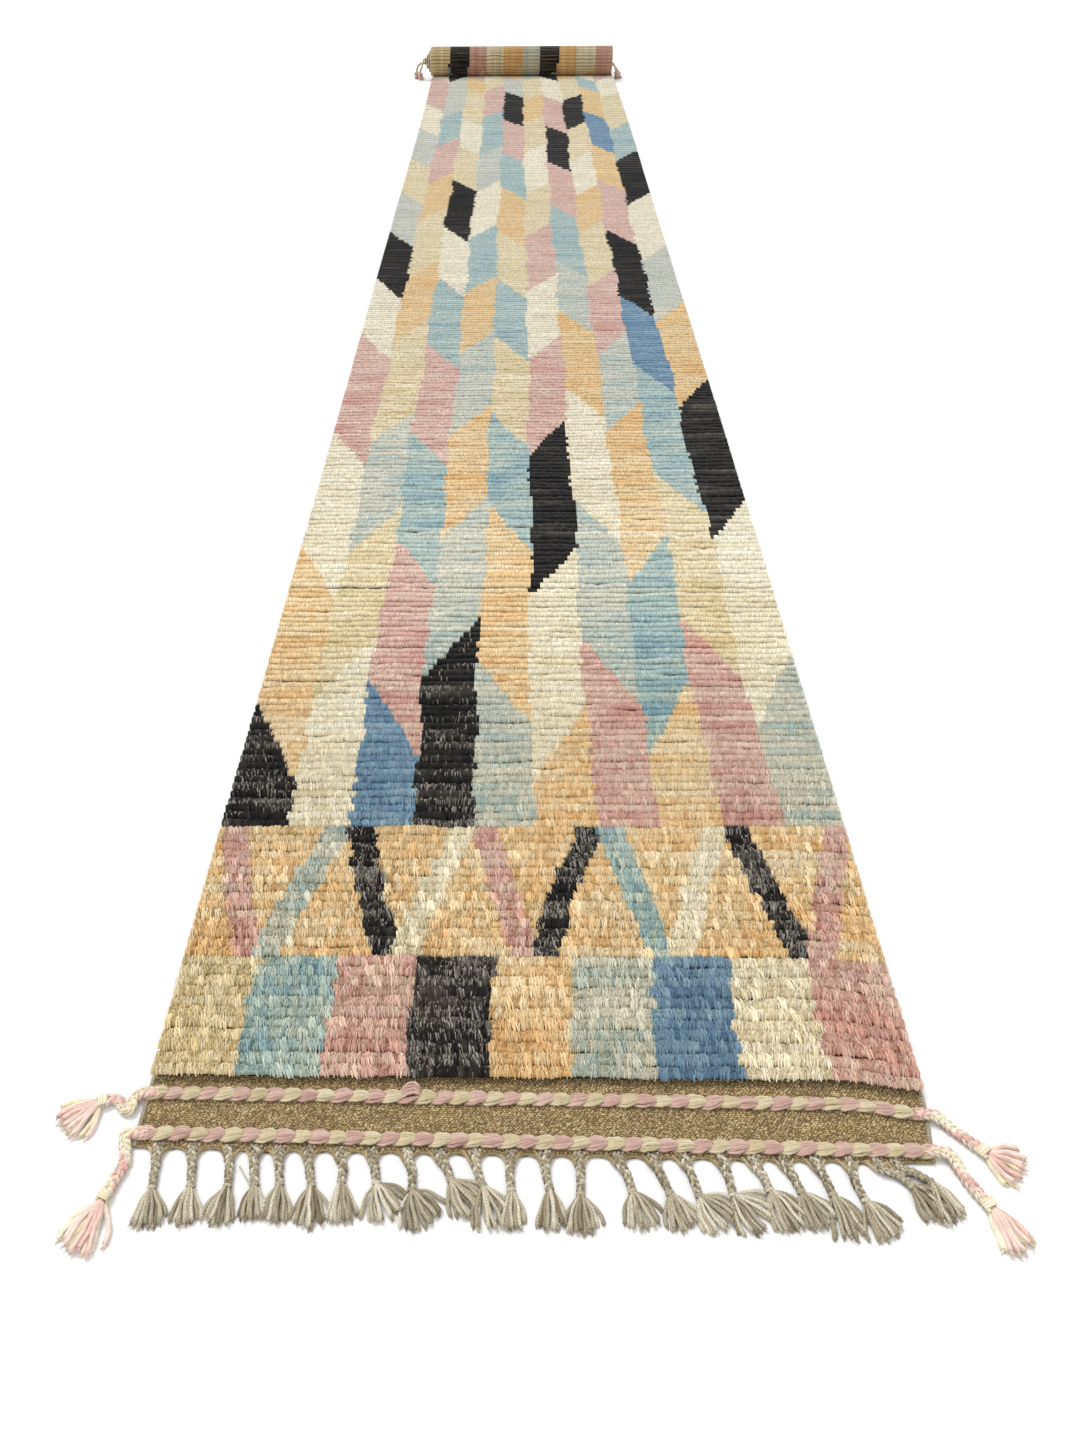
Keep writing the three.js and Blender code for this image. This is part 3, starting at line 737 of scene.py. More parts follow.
def cloth_stations():
    """The places along the cloth where its grid has a line of corners."""
    stations = END_STEPS + FLAT_STEPS
    for row in range(FLAT_ROWS, SHOWN_ROWS):
        stations += [row * ROW, (row + BACK_RIB) * ROW]
    stations += list(np.arange(SHOWN_ROWS * ROW, CLOTH_END, 0.012)) + [CLOTH_END]
    return np.array(stations)


def knot_at(x):
    return ((x + HALF) / KNOT).astype(int)


def waver(x, s):
    """How far the rows on the roll's outside stray along the cloth."""
    strays = cloudy(ALL_ROWS + 1, KNOTS_ACROSS + 1, 2, 5, np.random.default_rng(29))
    row, knot = (s / ROW).astype(int).clip(0, ALL_ROWS), knot_at(x).clip(0, KNOTS_ACROSS)
    on_roll = smooth(s, FLAT_LENGTH, FLAT_LENGTH + 0.03) * (s < SHOWN_ROWS * ROW - 0.01)
    return BACK_WAVER * strays[row, knot] * on_roll


def make_cloth():
    """The laid sheet, and where the middle of each of its faces was while it was flat."""
    stations = cloth_stations()
    bm = bmesh.new()
    bmesh.ops.create_grid(bm, x_segments=CLOTH_COLUMNS, y_segments=len(stations) - 1, size=0.5)
    for v in bm.verts:
        line = round((v.co.y + 0.5) * (len(stations) - 1))
        v.co = (2 * HALF * v.co.x, stations[line], 0)
    made = bmesh.ops.extrude_face_region(bm, geom=bm.faces)["geom"]
    face_side = [g for g in made if isinstance(g, bmesh.types.BMVert)]
    bmesh.ops.translate(bm, vec=(0, 0, KILIM_THICKNESS), verts=face_side)
    bmesh.ops.recalc_face_normals(bm, faces=bm.faces)
    mesh = bpy.data.meshes.new("cloth")
    bm.to_mesh(mesh)
    bm.free()
    flat = np.zeros(3 * len(mesh.vertices))
    mesh.vertices.foreach_get("co", flat)
    flat = flat.reshape(-1, 3)
    flat[:, 1] += waver(flat[:, 0], flat[:, 1])
    centres = np.zeros(3 * len(mesh.polygons))
    mesh.polygons.foreach_get("center", centres)
    centres = centres.reshape(-1, 3)
    mesh.vertices.foreach_set("co", lay(*flat.T).astype(np.float32).ravel())
    return mesh, centres


def paint_cloth(mesh, centres):
    """Each face gets the colour of its knot, or of the wefts between two rows of knots."""
    rng = np.random.default_rng(3)
    knot = knot_at(centres[:, 0]).clip(0, KNOTS_ACROSS - 1)
    row = np.floor(centres[:, 1] / ROW).astype(int).clip(0, ALL_ROWS - 1)
    in_rib = centres[:, 1] / ROW % 1 < BACK_RIB
    by_warp = rng.normal(0, 0.04, KNOTS_ACROSS)[knot]
    by_rib = cloudy(ALL_ROWS, KNOTS_ACROSS, 1, 12, rng)[row, knot]
    light = (BACK_LIGHT + by_warp) * rng.uniform(0.94, 1.03, len(centres))
    colours = shaded(colour_of_knot[row, knot], light)
    # Painted shade at the roll's foot, where it meets the pile, and some columns show their rows more than
    # others
    low = 1 - smooth(centres[:, 1], FLAT_LENGTH + 0.03, FLAT_LENGTH + 0.10)
    colours = colours * (BACK_HUE - 0.34 * low[:, None])
    lined = 0.30 + 0.14 * np.sin(2.4 * (knot // KNOTS_A_COLUMN) + 0.8)
    share = np.clip(lined + 0.30 * by_rib, 0.0, 0.7)[:, None]
    between = 0.72 * colours * (1 - share) + linear(WARPS) * share
    colours = np.where(in_rib[:, None], colours, between)
    face_side = centres[:, 2] > 0.5 * KILIM_THICKNESS
    plain = (centres[:, 1] < 0) | (centres[:, 1] > PILE_END)
    # Painted shade: the plain parts get the darkest kilim tone at half strength, which shows between the
    # kilim's floats
    colours[plain] = linear(KILIM_TONES)[3] * 0.5
    # Painted shade: the face side under the pile is darker still
    colours[face_side & ~plain] *= 0.6
    sizes = np.zeros(len(mesh.polygons), np.int32)
    mesh.polygons.foreach_get("loop_total", sizes)
    corners = np.repeat(np.concatenate([colours, np.ones((len(colours), 1))], 1), sizes, 0)
    layer = mesh.color_attributes.new(name="wool", type="FLOAT_COLOR", domain="CORNER")
    layer.data.foreach_set("color", corners.astype(np.float32).ravel())


cloth_mesh, cloth_centres = make_cloth()
paint_cloth(cloth_mesh, cloth_centres)
cloth_mesh.materials.append(BACK_WOOL)
cloth = place_in_scene(bpy.data.objects.new("cloth", cloth_mesh))
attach(cloth, "root")
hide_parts("rug")
print(f"cloth: {2 * len(cloth_mesh.polygons)} triangles")

# %% [markdown]
# ## The pile
# A row of knots stands as one soft ridge: its cut ends lean towards the fringe, bloom, and hang over
# the row in front. So each knot gets a strip of that ridge, bent along a profile, and the strips of
# a row join without gaps because the places between knots are shared. Near the camera, loose tufts
# lie on the ridges as well. The pile is made as ten lengthwise pieces, one a column of the design.

# %% Ridges of pile
# From the front's underside over the crest to the back: forward (of a row), up (of the pile) and light
RIDGES = {
    "deep": [
        (0.50, 0.46, 0.42), (0.60, 0.74, 0.82), (0.34, 0.92, 0.97), (-0.10, 0.88, 0.94),
        (-0.54, 0.58, 0.58),
    ],
    "round": [(0.50, 0.62, 0.64), (0.58, 0.84, 0.93), (0.06, 0.97, 1.0), (-0.54, 0.78, 0.80)],
    "low": [(0.50, 0.66, 0.84), (0.55, 0.88, 0.98), (0.04, 0.96, 1.0), (-0.54, 0.82, 0.92)],
}
ROUND_UNTIL, LOW_FROM = 0.9, 2.4  # between these the ridges go over from round to low
LUMPS_FADE = 0.75
SMOOTHER = (0.15, 0.6)  # and between these the pile gets smoother
ZONES = [
    # where it ends, the profile, rows that a ridge stands for, tufts a knot and their half width
    {"until": 0.36, "profile": "deep", "rows": 1, "tufts": 16, "half": 0.00070},
    {"until": 0.90, "profile": "deep", "rows": 1, "tufts": 9, "half": 0.00065},
    {"until": 3.40, "profile": "round", "rows": 1, "tufts": 0},
    {"until": FLAT_LENGTH, "profile": "round", "rows": 2, "tufts": 0},
]
OVERHANG = 0.0040  # the first rows lean out over the plain-woven end
noise_rng = np.random.default_rng(19)
WAVES = cloudy(ALL_ROWS, KNOTS_ACROSS + 1, 1, 6, noise_rng)
SLANTS = cloudy(ALL_ROWS, KNOTS_ACROSS + 1, 2, 4, noise_rng)
LUMPS = noise_rng.normal(0, 1, (ALL_ROWS, KNOTS_ACROSS + 1))
LIFTS = noise_rng.normal(0, 1, (ALL_ROWS, KNOTS_ACROSS + 1))
CLUMPS = noise_rng.normal(0, 1, (ALL_ROWS, KNOTS_ACROSS))  # the tufts of a knot hang together


def uneven(x, s):
    """The lumps of the pile over a hand's breadth, as in the model of the rug."""
    near_roll = 1 - smooth(s, FLAT_LENGTH - 0.3, FLAT_LENGTH - 0.1)
    waves = np.sin(x / 0.061 + s / 0.143) * np.cos(x / 0.097 - s / 0.211)
    return 0.0011 * waves * smooth(s, 0, 0.15) * near_roll


def pile_height(x, s):
    """The pile's height, which the roll presses down where it lies on it."""
    pressed = [FLAT_LENGTH - 0.055, FLAT_LENGTH - 0.026, FLAT_LENGTH - 0.01]
    return np.interp(s, pressed, [PILE_HEIGHT, 0.0136, ROLLED_PILE]) + uneven(x, s)


def strip(points):
    """A flat strip, one wide, with a line of corners for each point of a profile."""
    bm = bmesh.new()
    bmesh.ops.create_grid(bm, x_segments=1, y_segments=points - 1, size=0.5)
    for v in bm.verts:
        v.co = (v.co.x + 0.5, (v.co.y + 0.5) * (points - 1), 0)
    return read_shape(bm, is_tube=False)


def ridges(rows, knots, zone, rng):
    """The cells of these rows and knots, as a part for repeat()."""
    profile = np.array(RIDGES[zone["profile"]])
    shape = strip(len(profile))
    share, point = shape["corners"][:, 0], shape["corners"][:, 1].round().astype(int)
    row, knot = (a.ravel()[:, None] for a in np.meshgrid(rows, knots, indexing="ij"))
    forward, up, lit = profile[point].T
    # The painted shade under the ridges is deeper in some patches than in others
    patchy = 1 + 0.8 * HEATHER_AND_SHADE[row, knot].clip(-1, 1)
    lit = 1 - (1 - lit) * (1 - 0.35 * smooth(row * ROW, *SMOOTHER)) * patchy
    if zone["profile"] == "round":
        low = np.array(RIDGES["low"])[point].T
        over = smooth(row * ROW, ROUND_UNTIL, LOW_FROM)
        forward, up, lit = (a + (b - a) * over for a, b in zip((forward, up, lit), low))
    lumpy = 1 - LUMPS_FADE * smooth(row * ROW, 0.9, 3.0)

    def between(grid):
        return lumpy * (grid[row, knot] * (1 - share) + grid[row, knot + 1] * share)

    wave = between(WAVES)
    at_edge = np.abs(2 * (knot + share) / KNOTS_ACROSS - 1) > 0.99
    x = -HALF + (knot + share) * KNOT + np.sign(knot - KNOTS_ACROSS / 2) * 0.0016 * up * at_edge
    reach = ROW * zone["rows"] * (1.04 + 0.05 * between(LUMPS) + 0.07 * wave)
    s = (row + 0.5 * zone["rows"]) * ROW + 0.0016 * wave - forward * reach
    s = s - OVERHANG * (1 - smooth(s, 0, 0.05)) * up
    height = pile_height(x, s) * (1.02 + 0.035 * between(LIFTS) + 0.05 * wave)
    rough = 1 - 0.8 * smooth(row * ROW, *SMOOTHER)
    light = lit * (1 + 0.07 * rough * CLUMPS[row, knot])
    own_row = np.minimum(row + (forward < 0) * (zone["rows"] - 1), ALL_ROWS - 1)
    own_knot = np.minimum(knot + (share > 0.5) * (row * ROW > LOW_FROM), KNOTS_ACROSS - 1)
    return {
        "shape": shape,
        "points": lay(x, s, 0.001 + up * height),
        "colours": shaded(colour_of_knot[own_row, own_knot], light),
        "along": shape["corners"][:, 1] * 0.005 + rng.uniform(0, 5, (len(row), 1)),
        "spin": rng.uniform(0, 9, (len(row), 1)),
    }


# %% [markdown]
# A tuft is a narrow flat sliver of wool that starts on the crest, arches forward and hangs down.
# Each is turned a little about its own length, so they catch the light unlike each other. Tufts
# stray in tone more than the ridge below, and the charcoal ones are heathered with grey.

# %% Tufts and the pile pieces
# From root to tip: forward (of a row), up (of the pile), width (of a tuft) and light
TUFT = np.array([(0.0, 0.84, 0.85, 0.88), (0.36, 1.05, 1.1, 0.96), (0.80, 0.76, 0.75, 0.90)])
GREY_HAIR = (178, 172, 160)
TUFTS_FADE = (0.30, 0.85)  # from here to here along the cloth the tufts thin out


def tufts(rows, knots, zone, rng):
    shape = strip(len(TUFT))
    forward, up, wide, lit = TUFT[shape["corners"][:, 1].round().astype(int)].T
    row, knot = (np.repeat(a.ravel(), zone["tufts"]) for a in np.meshgrid(rows, knots, indexing="ij"))
    place = np.tile((np.arange(zone["tufts"]) + 0.5) / zone["tufts"], len(row) // zone["tufts"])
    kept = rng.random(len(row)) < 1 - smooth(row * ROW, *TUFTS_FADE)
    row, knot, place = row[kept], knot[kept], place[kept]
    number = len(row)
    wave, slant = WAVES[row, knot], SLANTS[row, knot]
    x = -HALF + (knot + place) * KNOT + rng.normal(0, 0.0006, number)
    s = (row + 0.5) * ROW + 0.0016 * wave - ROW * rng.uniform(-0.40, 0.18, number)
    inside = 1 - smooth(np.abs(x), HALF - 0.012, HALF)
    rough = 1 - 0.72 * smooth(s, *SMOOTHER)
    s = s - OVERHANG * (1 - smooth(s, 0, 0.05))
    clump = rough * CLUMPS[row, knot]
    aside = (rough * rng.normal(0, 0.0010, number) + 0.0011 * slant + 0.0013 * clump) * inside
    reach = ROW * (0.84 + 0.10 * rough * rng.normal(0, 1, number) + 0.15 * clump + 0.1 * wave)
    reach = reach * (0.75 + 0.25 * smooth(s, 0, 0.02))
    stretch = 1.0 + 0.05 * rough * rng.normal(0, 1, number) + 0.05 * clump + 0.05 * wave
    height = pile_height(x, s) * stretch
    half = zone["half"] * rng.uniform(0.7, 1.3, (number, 1)) * wide
    roll = 0.35 * rough[:, None] * rng.normal(0, 1, (number, 1))
    across = 2 * (shape["corners"][:, 0] - 0.5) * half
    flat_x = x[:, None] + across * np.cos(roll) + forward * 1.8 * aside[:, None]
    flat_s = s[:, None] - forward * reach[:, None]
    flat_h = 0.001 + up * height[:, None] + across * np.sin(roll)
    tone = colour_of_knot[row, knot]
    is_charcoal = wool_of_knot[row, knot] == NAMES.index("charcoal")
    grey_share = 0.48 + 0.45 * HEATHER_AND_SHADE[row, knot] - 0.26 * smooth(s, 0.15, 0.5)
    grey = is_charcoal & (rng.random(number) < grey_share)
    blend = np.where(grey, rng.uniform(0.1, 0.85, number), 0)[:, None]
    tone = tone * (1 - blend) + linear(GREY_HAIR) * blend
    chance = 0.06 * rough * rng.normal(0, 1, number).clip(-2.2, 2.2) + 0.14 * clump.clip(-2.5, 2.5)
    light = lit + chance[:, None]
    return {
        "shape": shape,
        "points": lay(flat_x, flat_s, flat_h),
        "colours": shaded(tone[:, None, :], light),
        "along": shape["corners"][:, 1] * 0.005 + rng.uniform(0, 5, (number, 1)),
        "spin": rng.uniform(0, 9, (number, 1)),
    }


for column in range(COLUMNS):
    pile_rng = np.random.default_rng(100 + column)
    knots = np.arange(column * KNOTS_A_COLUMN, (column + 1) * KNOTS_A_COLUMN)
    parts, first = [], 0
    for zone in ZONES:
        last = min(round(zone["until"] / ROW), FLAT_ROWS)
        rows = np.arange(first, last, zone["rows"])
        parts.append(ridges(rows, knots, zone, pile_rng))
        if zone["tufts"]:
            parts.append(tufts(rows, knots, zone, pile_rng))
        first = last
    repeat(f"pile_{column + 1}", parts, PILE_WOOL)

# %% [markdown]
# In the roll the pile is inside. It shows only at the two ends, between the turns, so only the
# outermost knots of each row are made there.

# %% Pile at the roll's ends
END_KNOTS = 4
ROLLED_ZONE = {"profile": "round", "rows": 1}
rolled_rows = np.arange(FLAT_ROWS, ALL_ROWS - 1)
end_rng = np.random.default_rng(31)
for side, first in (("left", 0), ("right", KNOTS_ACROSS - END_KNOTS)):
    parts = [ridges(rolled_rows, first + np.arange(END_KNOTS), ROLLED_ZONE, end_rng)]
    repeat(f"rolled_pile_{side}", parts, PILE_WOOL)

# %% [markdown]
# ## The selvedges
# Each side of the cloth is overcast: a pale yarn is wound round the outermost warps, stitch after
# stitch. A tube in cloth measures follows the edge, and its radius swells at each stitch, slanted
# round the tube. Far from the camera the stitches are drawn longer, since they can't be told apart.

# %% Overcast selvedges
SELVEDGE_RADIUS = 0.0022
SELVEDGE_MIDDLE = 0.0028  # its height above the floor
STITCH = 0.0034


def selvedge_steps():
    near = np.arange(-KILIM_LENGTH, 1.0, STITCH / 2)
    middle = np.arange(1.0, 2.2, 0.006)
    far = np.arange(2.2, FLAT_LENGTH - 0.1, 0.03)
    rolled = np.arange(FLAT_LENGTH - 0.1, CLOTH_END, 0.006)
    return np.concatenate([near, middle, far, rolled])


def selvedge(name, side, seed):
    rng = np.random.default_rng(seed)
    steps = selvedge_steps()
    shape = straight_yarn(6, len(steps))
    turn = np.arctan2(shape["corners"][:, 1], shape["corners"][:, 0])
    s = steps[shape["corners"][:, 2].round().astype(int)]
    swell = np.abs(np.sin(math.pi * (s / STITCH + 0.12 * turn)))
    near = 1 - smooth(s, 0.9, 1.0)
    radius = SELVEDGE_RADIUS * (0.92 + 0.24 * near * swell)
    x = side * (HALF + 0.0004) + radius * np.cos(turn) + 0.0006 * np.sin(s / 0.037)
    height = SELVEDGE_MIDDLE + radius * np.sin(turn)
    tones = mixed(SELVEDGE_TONES, 1, rng, len(s))
    # Between the stitches the colour goes over to the kilim's own tone, darkened with painted shade in the
    # grooves
    gap = (near * (1 - swell) ** 0.8)[:, None]
    on_kilim = (1 - smooth(s, -0.02, 0.0))[:, None]
    colours = (0.9 - 0.3 * on_kilim) * tones * (1 - gap) + 0.5 * linear(KILIM_TONES)[2] * gap
    part = {"shape": shape, "points": lay(x, s, height)[None], "colours": colours[None], "along": s[None]}
    return repeat(name, [part], SELVEDGE_WOOL)


selvedges = [selvedge("selvedge_left", -1, 51), selvedge("selvedge_right", 1, 52)]

# %% [markdown]
# ## The plain-woven end
# In a kilim the wefts hide the warps, so its face is a brickwork of small floats, each arched over
# one warp. One float is a low four-sided cone, which smooth shading rounds off.

# %% Kilim weave
FLOAT_WIDTH = 0.0033
FLOAT_DEPTH = 0.0022
FLOAT_RISE = 0.0016


def kilim_weave():
    rng = np.random.default_rng(5)
    bm = bmesh.new()
    bmesh.ops.create_cone(bm, cap_ends=False, segments=4, radius1=1, radius2=0, depth=1)
    bmesh.ops.rotate(bm, verts=bm.verts, matrix=Matrix.Rotation(math.pi / 4, 3, "Z"))
    bmesh.ops.translate(bm, vec=(0, 0, 0.5), verts=bm.verts)
    shape = read_shape(bm)
    rows = int(KILIM_LENGTH / FLOAT_DEPTH)
    across = int(2 * HALF / FLOAT_WIDTH)
    row, place = (a.ravel() for a in np.meshgrid(np.arange(rows), np.arange(across), indexing="ij"))
    number = len(row)
    x = -HALF + (place + 0.25 + 0.5 * (row % 2)) * FLOAT_WIDTH + rng.normal(0, 0.0005, number)
    s = -(row + 0.5) * FLOAT_DEPTH + rng.normal(0, 0.0003, number)
    wide = 0.66 * FLOAT_WIDTH * rng.uniform(0.75, 1.25, number)
    deep = 0.70 * FLOAT_DEPTH * rng.uniform(0.75, 1.3, number)
    rise = FLOAT_RISE * rng.uniform(0.7, 1.25, number)
    corners = shape["corners"]
    flat_x = x[:, None] + corners[:, 0] * wide[:, None]
    flat_s = s[:, None] + corners[:, 1] * deep[:, None]
    flat_x = flat_x + 0.35 * (flat_s - s[:, None])
    height = KILIM_THICKNESS - 0.0002 + corners[:, 2] * rise[:, None]
    blotch = 1 + 0.16 * cloudy(rows, across, 3, 5, rng).ravel()[:, None]
    tones = mixed(KILIM_TONES, 1, rng, number) * blotch
    lit = np.where(corners[:, 2] > 0.5, 1.2, 0.30)
    colours = shaded(tones[:, None, :], np.broadcast_to(lit, (number, len(lit))))
    part = {"shape": shape, "points": lay(flat_x, flat_s, height), "colours": colours}
    return repeat("kilim_weave", [part], KILIM_WOOL)


weave = kilim_weave()

# %% [markdown]
# ## The twined braids
# Two braids cross the kilim end. In each a bundle of pink yarn and one of cream are passed over in
# turn, which leaves a row of leaf-shaped lobes. A lobe here is six yarns that start together at its
# left point, arch over and spread, and dive under the next lobe.

# %% Braid lobes
LOBES = 46
LOBE_PITCH = 2 * HALF / LOBES
LOBE_LENGTH = 1.36 * LOBE_PITCH
LOBE_WIDTH = 0.0148
LOBE_HEIGHT = 0.0056
YARNS_A_LOBE = 6
LOBE_STEPS = 8
BRAIDS = {
    "inner": {"before": 0.026, "slant": 0.0075, "dip": 0.010, "first": 0},
    "outer": {"before": 0.073, "slant": 0.010, "dip": 0.0, "first": 1},
}
BRAID_YARN = 0.0018
STRAY_LOBE = 15  # one lobe of the inner braid has come a little loose


def braid_line(braid, x):
    return -braid["before"] - braid["slant"] * x / HALF - braid["dip"] * at_right_corner(x)


def lobe_yarns(braid, rng):
    """Paths and colours of the yarns of one braid's lobes."""
    t = np.linspace(-1, 1, LOBE_STEPS)
    opened = np.interp(t, [-1, -0.6, -0.1, 0.4, 0.75, 1], [0.55, 0.9, 1.0, 0.82, 0.45, 0.12])
    arch = np.interp(t, [-1, -0.6, -0.1, 0.4, 0.8, 1], [0.0, 0.42, 0.86, 1.0, 0.82, 0.42])
    paths, colours = [], []
    for lobe in range(LOBES):
        middle = -HALF + LOBE_PITCH * (lobe + 0.5) + rng.normal(0, 0.0004)
        size = rng.uniform(0.92, 1.08)
        tilt = rng.normal(0.0006, 0.0007)
        tones = BRAID_PINK if (lobe + braid["first"]) % 2 else BRAID_CREAM
        stray = lobe == STRAY_LOBE and braid["first"] == 0
        for strand in range(YARNS_A_LOBE):
            share = strand / (YARNS_A_LOBE - 1) * 2 - 1
            x = middle + t * LOBE_LENGTH / 2
            wide = 0.5 * LOBE_WIDTH - 0.0014
            rounded = 1 - 0.42 * share**2 * (1 - 0.5 * smooth(t, 0, 1))
            y = braid_line(braid, x) + (share * wide * opened + tilt * t) * size
            y = y + rng.normal(0, 0.00035, LOBE_STEPS)
            z = KILIM_THICKNESS + 0.0012 + LOBE_HEIGHT * size * arch * rounded + rng.normal(0, 0.0004)
            if stray and share > -0.2:
                y = y + 0.0055 * arch * (share + 0.5)
                z = z + 0.0030 * arch
            paths.append(np.stack([MIDDLE_X + x, FRONT_Y + y, z], -1))
            colours.append(mixed(tones, 0.9, rng, 1)[0])
    return np.array(paths), np.array(colours)


# %% [markdown]
# ## Plaits
# The braids run on past both sides of the rug as plaited tails, and the warps in front are plaited
# into tassels. In a plait of three, each strand swings from side to side a third of a beat behind
# the last and passes over as it comes back, which is a sine across and a sine of twice its angle
# up and down. Each strand is a few yarns that lie side by side.

# %% Plaits, wraps and tufts
def plait(path, width, height, beat, per_strand, yarn_radius, rng, upright=(0.0, 0.0, 1.0)):
    """Paths of the yarns of a three-strand plait along a path, and how much light each point gets,
    since the strands are dark where they pass under."""
    path = np.asarray(path, float)
    run = unit(np.gradient(path, axis=0))
    side = unit(np.cross(run, np.array(upright)))
    over = np.cross(side, run)
    along = np.concatenate([[0], np.cumsum(np.linalg.norm(np.diff(path, axis=0), axis=1))])
    width, height = (np.broadcast_to(v, len(path))[:, None] for v in (width, height))
    strand_radius = 0.27 * width
    swing = 0.5 * width - strand_radius
    lift = 0.5 * height - 0.8 * strand_radius
    found, light = [], []
    for strand in range(3):
        phase = math.tau * (along / beat + strand / 3)
        middle = path + side * swing * np.sin(phase)[:, None] + over * lift * np.sin(2 * phase)[:, None]
        for k in range(per_strand):
            angle = math.tau * (k / per_strand + along / (3 * beat)) + rng.uniform(0, 1)
            reach = strand_radius - 0.8 * yarn_radius
            aside, above = reach * np.cos(angle)[:, None], 0.8 * reach * np.sin(angle)[:, None]
            found.append(middle + side * aside + over * above)
            light.append(0.66 + 0.34 * np.sin(2 * phase) + 0.12 * np.sin(angle))
    return np.array(found), np.array(light)[..., None]


def wrap(centre, run, radius, turns, rise, upright=(0.0, 0.0, 1.0), steps=18):
    """The path of a yarn wound round a plait's end."""
    run = unit(np.asarray(run, float))
    side = unit(np.cross(run, np.array(upright)))
    over = np.cross(side, run)
    angle = np.linspace(0, math.tau * turns, steps)
    out = side * np.cos(angle)[:, None] * radius + over * np.sin(angle)[:, None] * radius * 0.85
    return np.asarray(centre) + out + run * ((angle / (math.tau * turns) - 0.5) * rise)[:, None]


def tuft(root, aim, spread, length, count, thick, rng, steps=7):
    """Paths of loose yarns that fan out on the floor in two layers. Aim and spread are in degrees
    from straight ahead, to the right positive."""
    t = np.linspace(0, 1, steps)
    lower = math.ceil(0.58 * count)
    found = []
    for k in range(count):
        upper = k >= lower
        share = (k - lower + 0.5) / (count - lower) * 2 - 1 if upper else k / (lower - 1) * 2 - 1
        share = share * (0.72 if upper else 1.0) + rng.normal(0, 0.05)
        crimp = 9 * np.sin(math.tau * (1.2 * t + rng.random())) * np.minimum(1, 3 * t)
        heading = np.radians(aim + spread * share * (1.25 - 0.9 * t) + rng.normal(0, 0.05 * spread) + crimp)
        reach = length * rng.uniform(0.88, 1.02) * (1 - 0.08 * share**2)
        step = np.stack([np.sin(heading), -np.cos(heading)], 1) * reach / (steps - 1)
        flat = np.concatenate([np.zeros((1, 2)), np.cumsum(step[:-1], 0)])
        beside = np.array([math.cos(math.radians(aim)), math.sin(math.radians(aim))])
        flat = flat + beside * share * 0.0022
        high = thick * (0.55 + (0.28 if upper else 0.0)) * (1 - 0.25 * abs(share))
        swell = 1 + 0.25 * np.sin(math.pi * np.minimum(1.3 * t, 1))
        low = 0.0052 if upper else 0.0019
        z = high * swell * (1 - t**2.2) + low * t**2.2
        found.append(np.stack([root[0] + flat[:, 0], root[1] + flat[:, 1], np.maximum(z, 0.0018)], -1))
    return np.array(found)


def frayed(paths, radius, colours, rng, threads=4, length=0.0028):
    """Short fine threads that splay from the ends of cut yarns."""
    paths = np.asarray(paths, float)
    end = paths[:, -1]
    run = unit(paths[:, -1] - paths[:, -2])
    number = len(paths) * threads
    end, run = np.repeat(end, threads, 0), np.repeat(run, threads, 0)
    splay = rng.normal(0, 0.5, (number, 3))
    tip = end + (run + splay) * length * rng.uniform(0.5, 1.1, (number, 1))
    tip[:, 2] = np.maximum(tip[:, 2], 0.0005)
    start = end - run * 0.002
    middle = end + (tip - end) * 0.35
    found = np.stack([start, middle, tip], 1)
    thickness = radius * np.array([0.6, 0.42, 0.12])
    shades = np.repeat(np.asarray(colours), threads, 0) * rng.uniform(0.85, 1.1, (number, 1))
    return yarns(found, thickness, shades, sides=3)


# %% [markdown]
# Each tail leaves its braid at the cloth's edge, drops to the floor, and ends in a knot and a tuft.
# The places are where the photograph shows the tails lying.

# %% Braid tails and the braid pieces
TAIL_WIDTH = 0.0132
TAIL_HEIGHT = 0.0092
TAIL_BEAT = 0.019
TAIL_STEPS = 40
TAIL_YARN = 0.0017
KNOT_YARN = 0.0020
KNOT_RADIUS = 0.0052
KNOT_LIFT = np.array([0, 0, 0.0016])
LOOSE_YARNS = 12
LOOSE_STEPS = 9
FRONT_TAILS = {
    "inner": [
        {"side": -1, "way": [(-417, -38), (-432, -25), (-445, -28)],
         "aim": -46, "spread": 44, "length": 40},
        {"side": 1, "way": [(421, -58), (433, -70), (445, -82)],
         "aim": 62, "spread": 50, "length": 35},
    ],
    "outer": [
        {"side": -1, "way": [(-405, -92), (-410, -110), (-415, -128)],
         "aim": -18, "spread": 36, "length": 50},
        {"side": 1, "way": [(417, -104), (424, -120), (433, -136)],
         "aim": 25, "spread": 28, "length": 43},
    ],
}


def world(x, y, z):
    return np.array([MIDDLE_X + x, FRONT_Y + y, z])


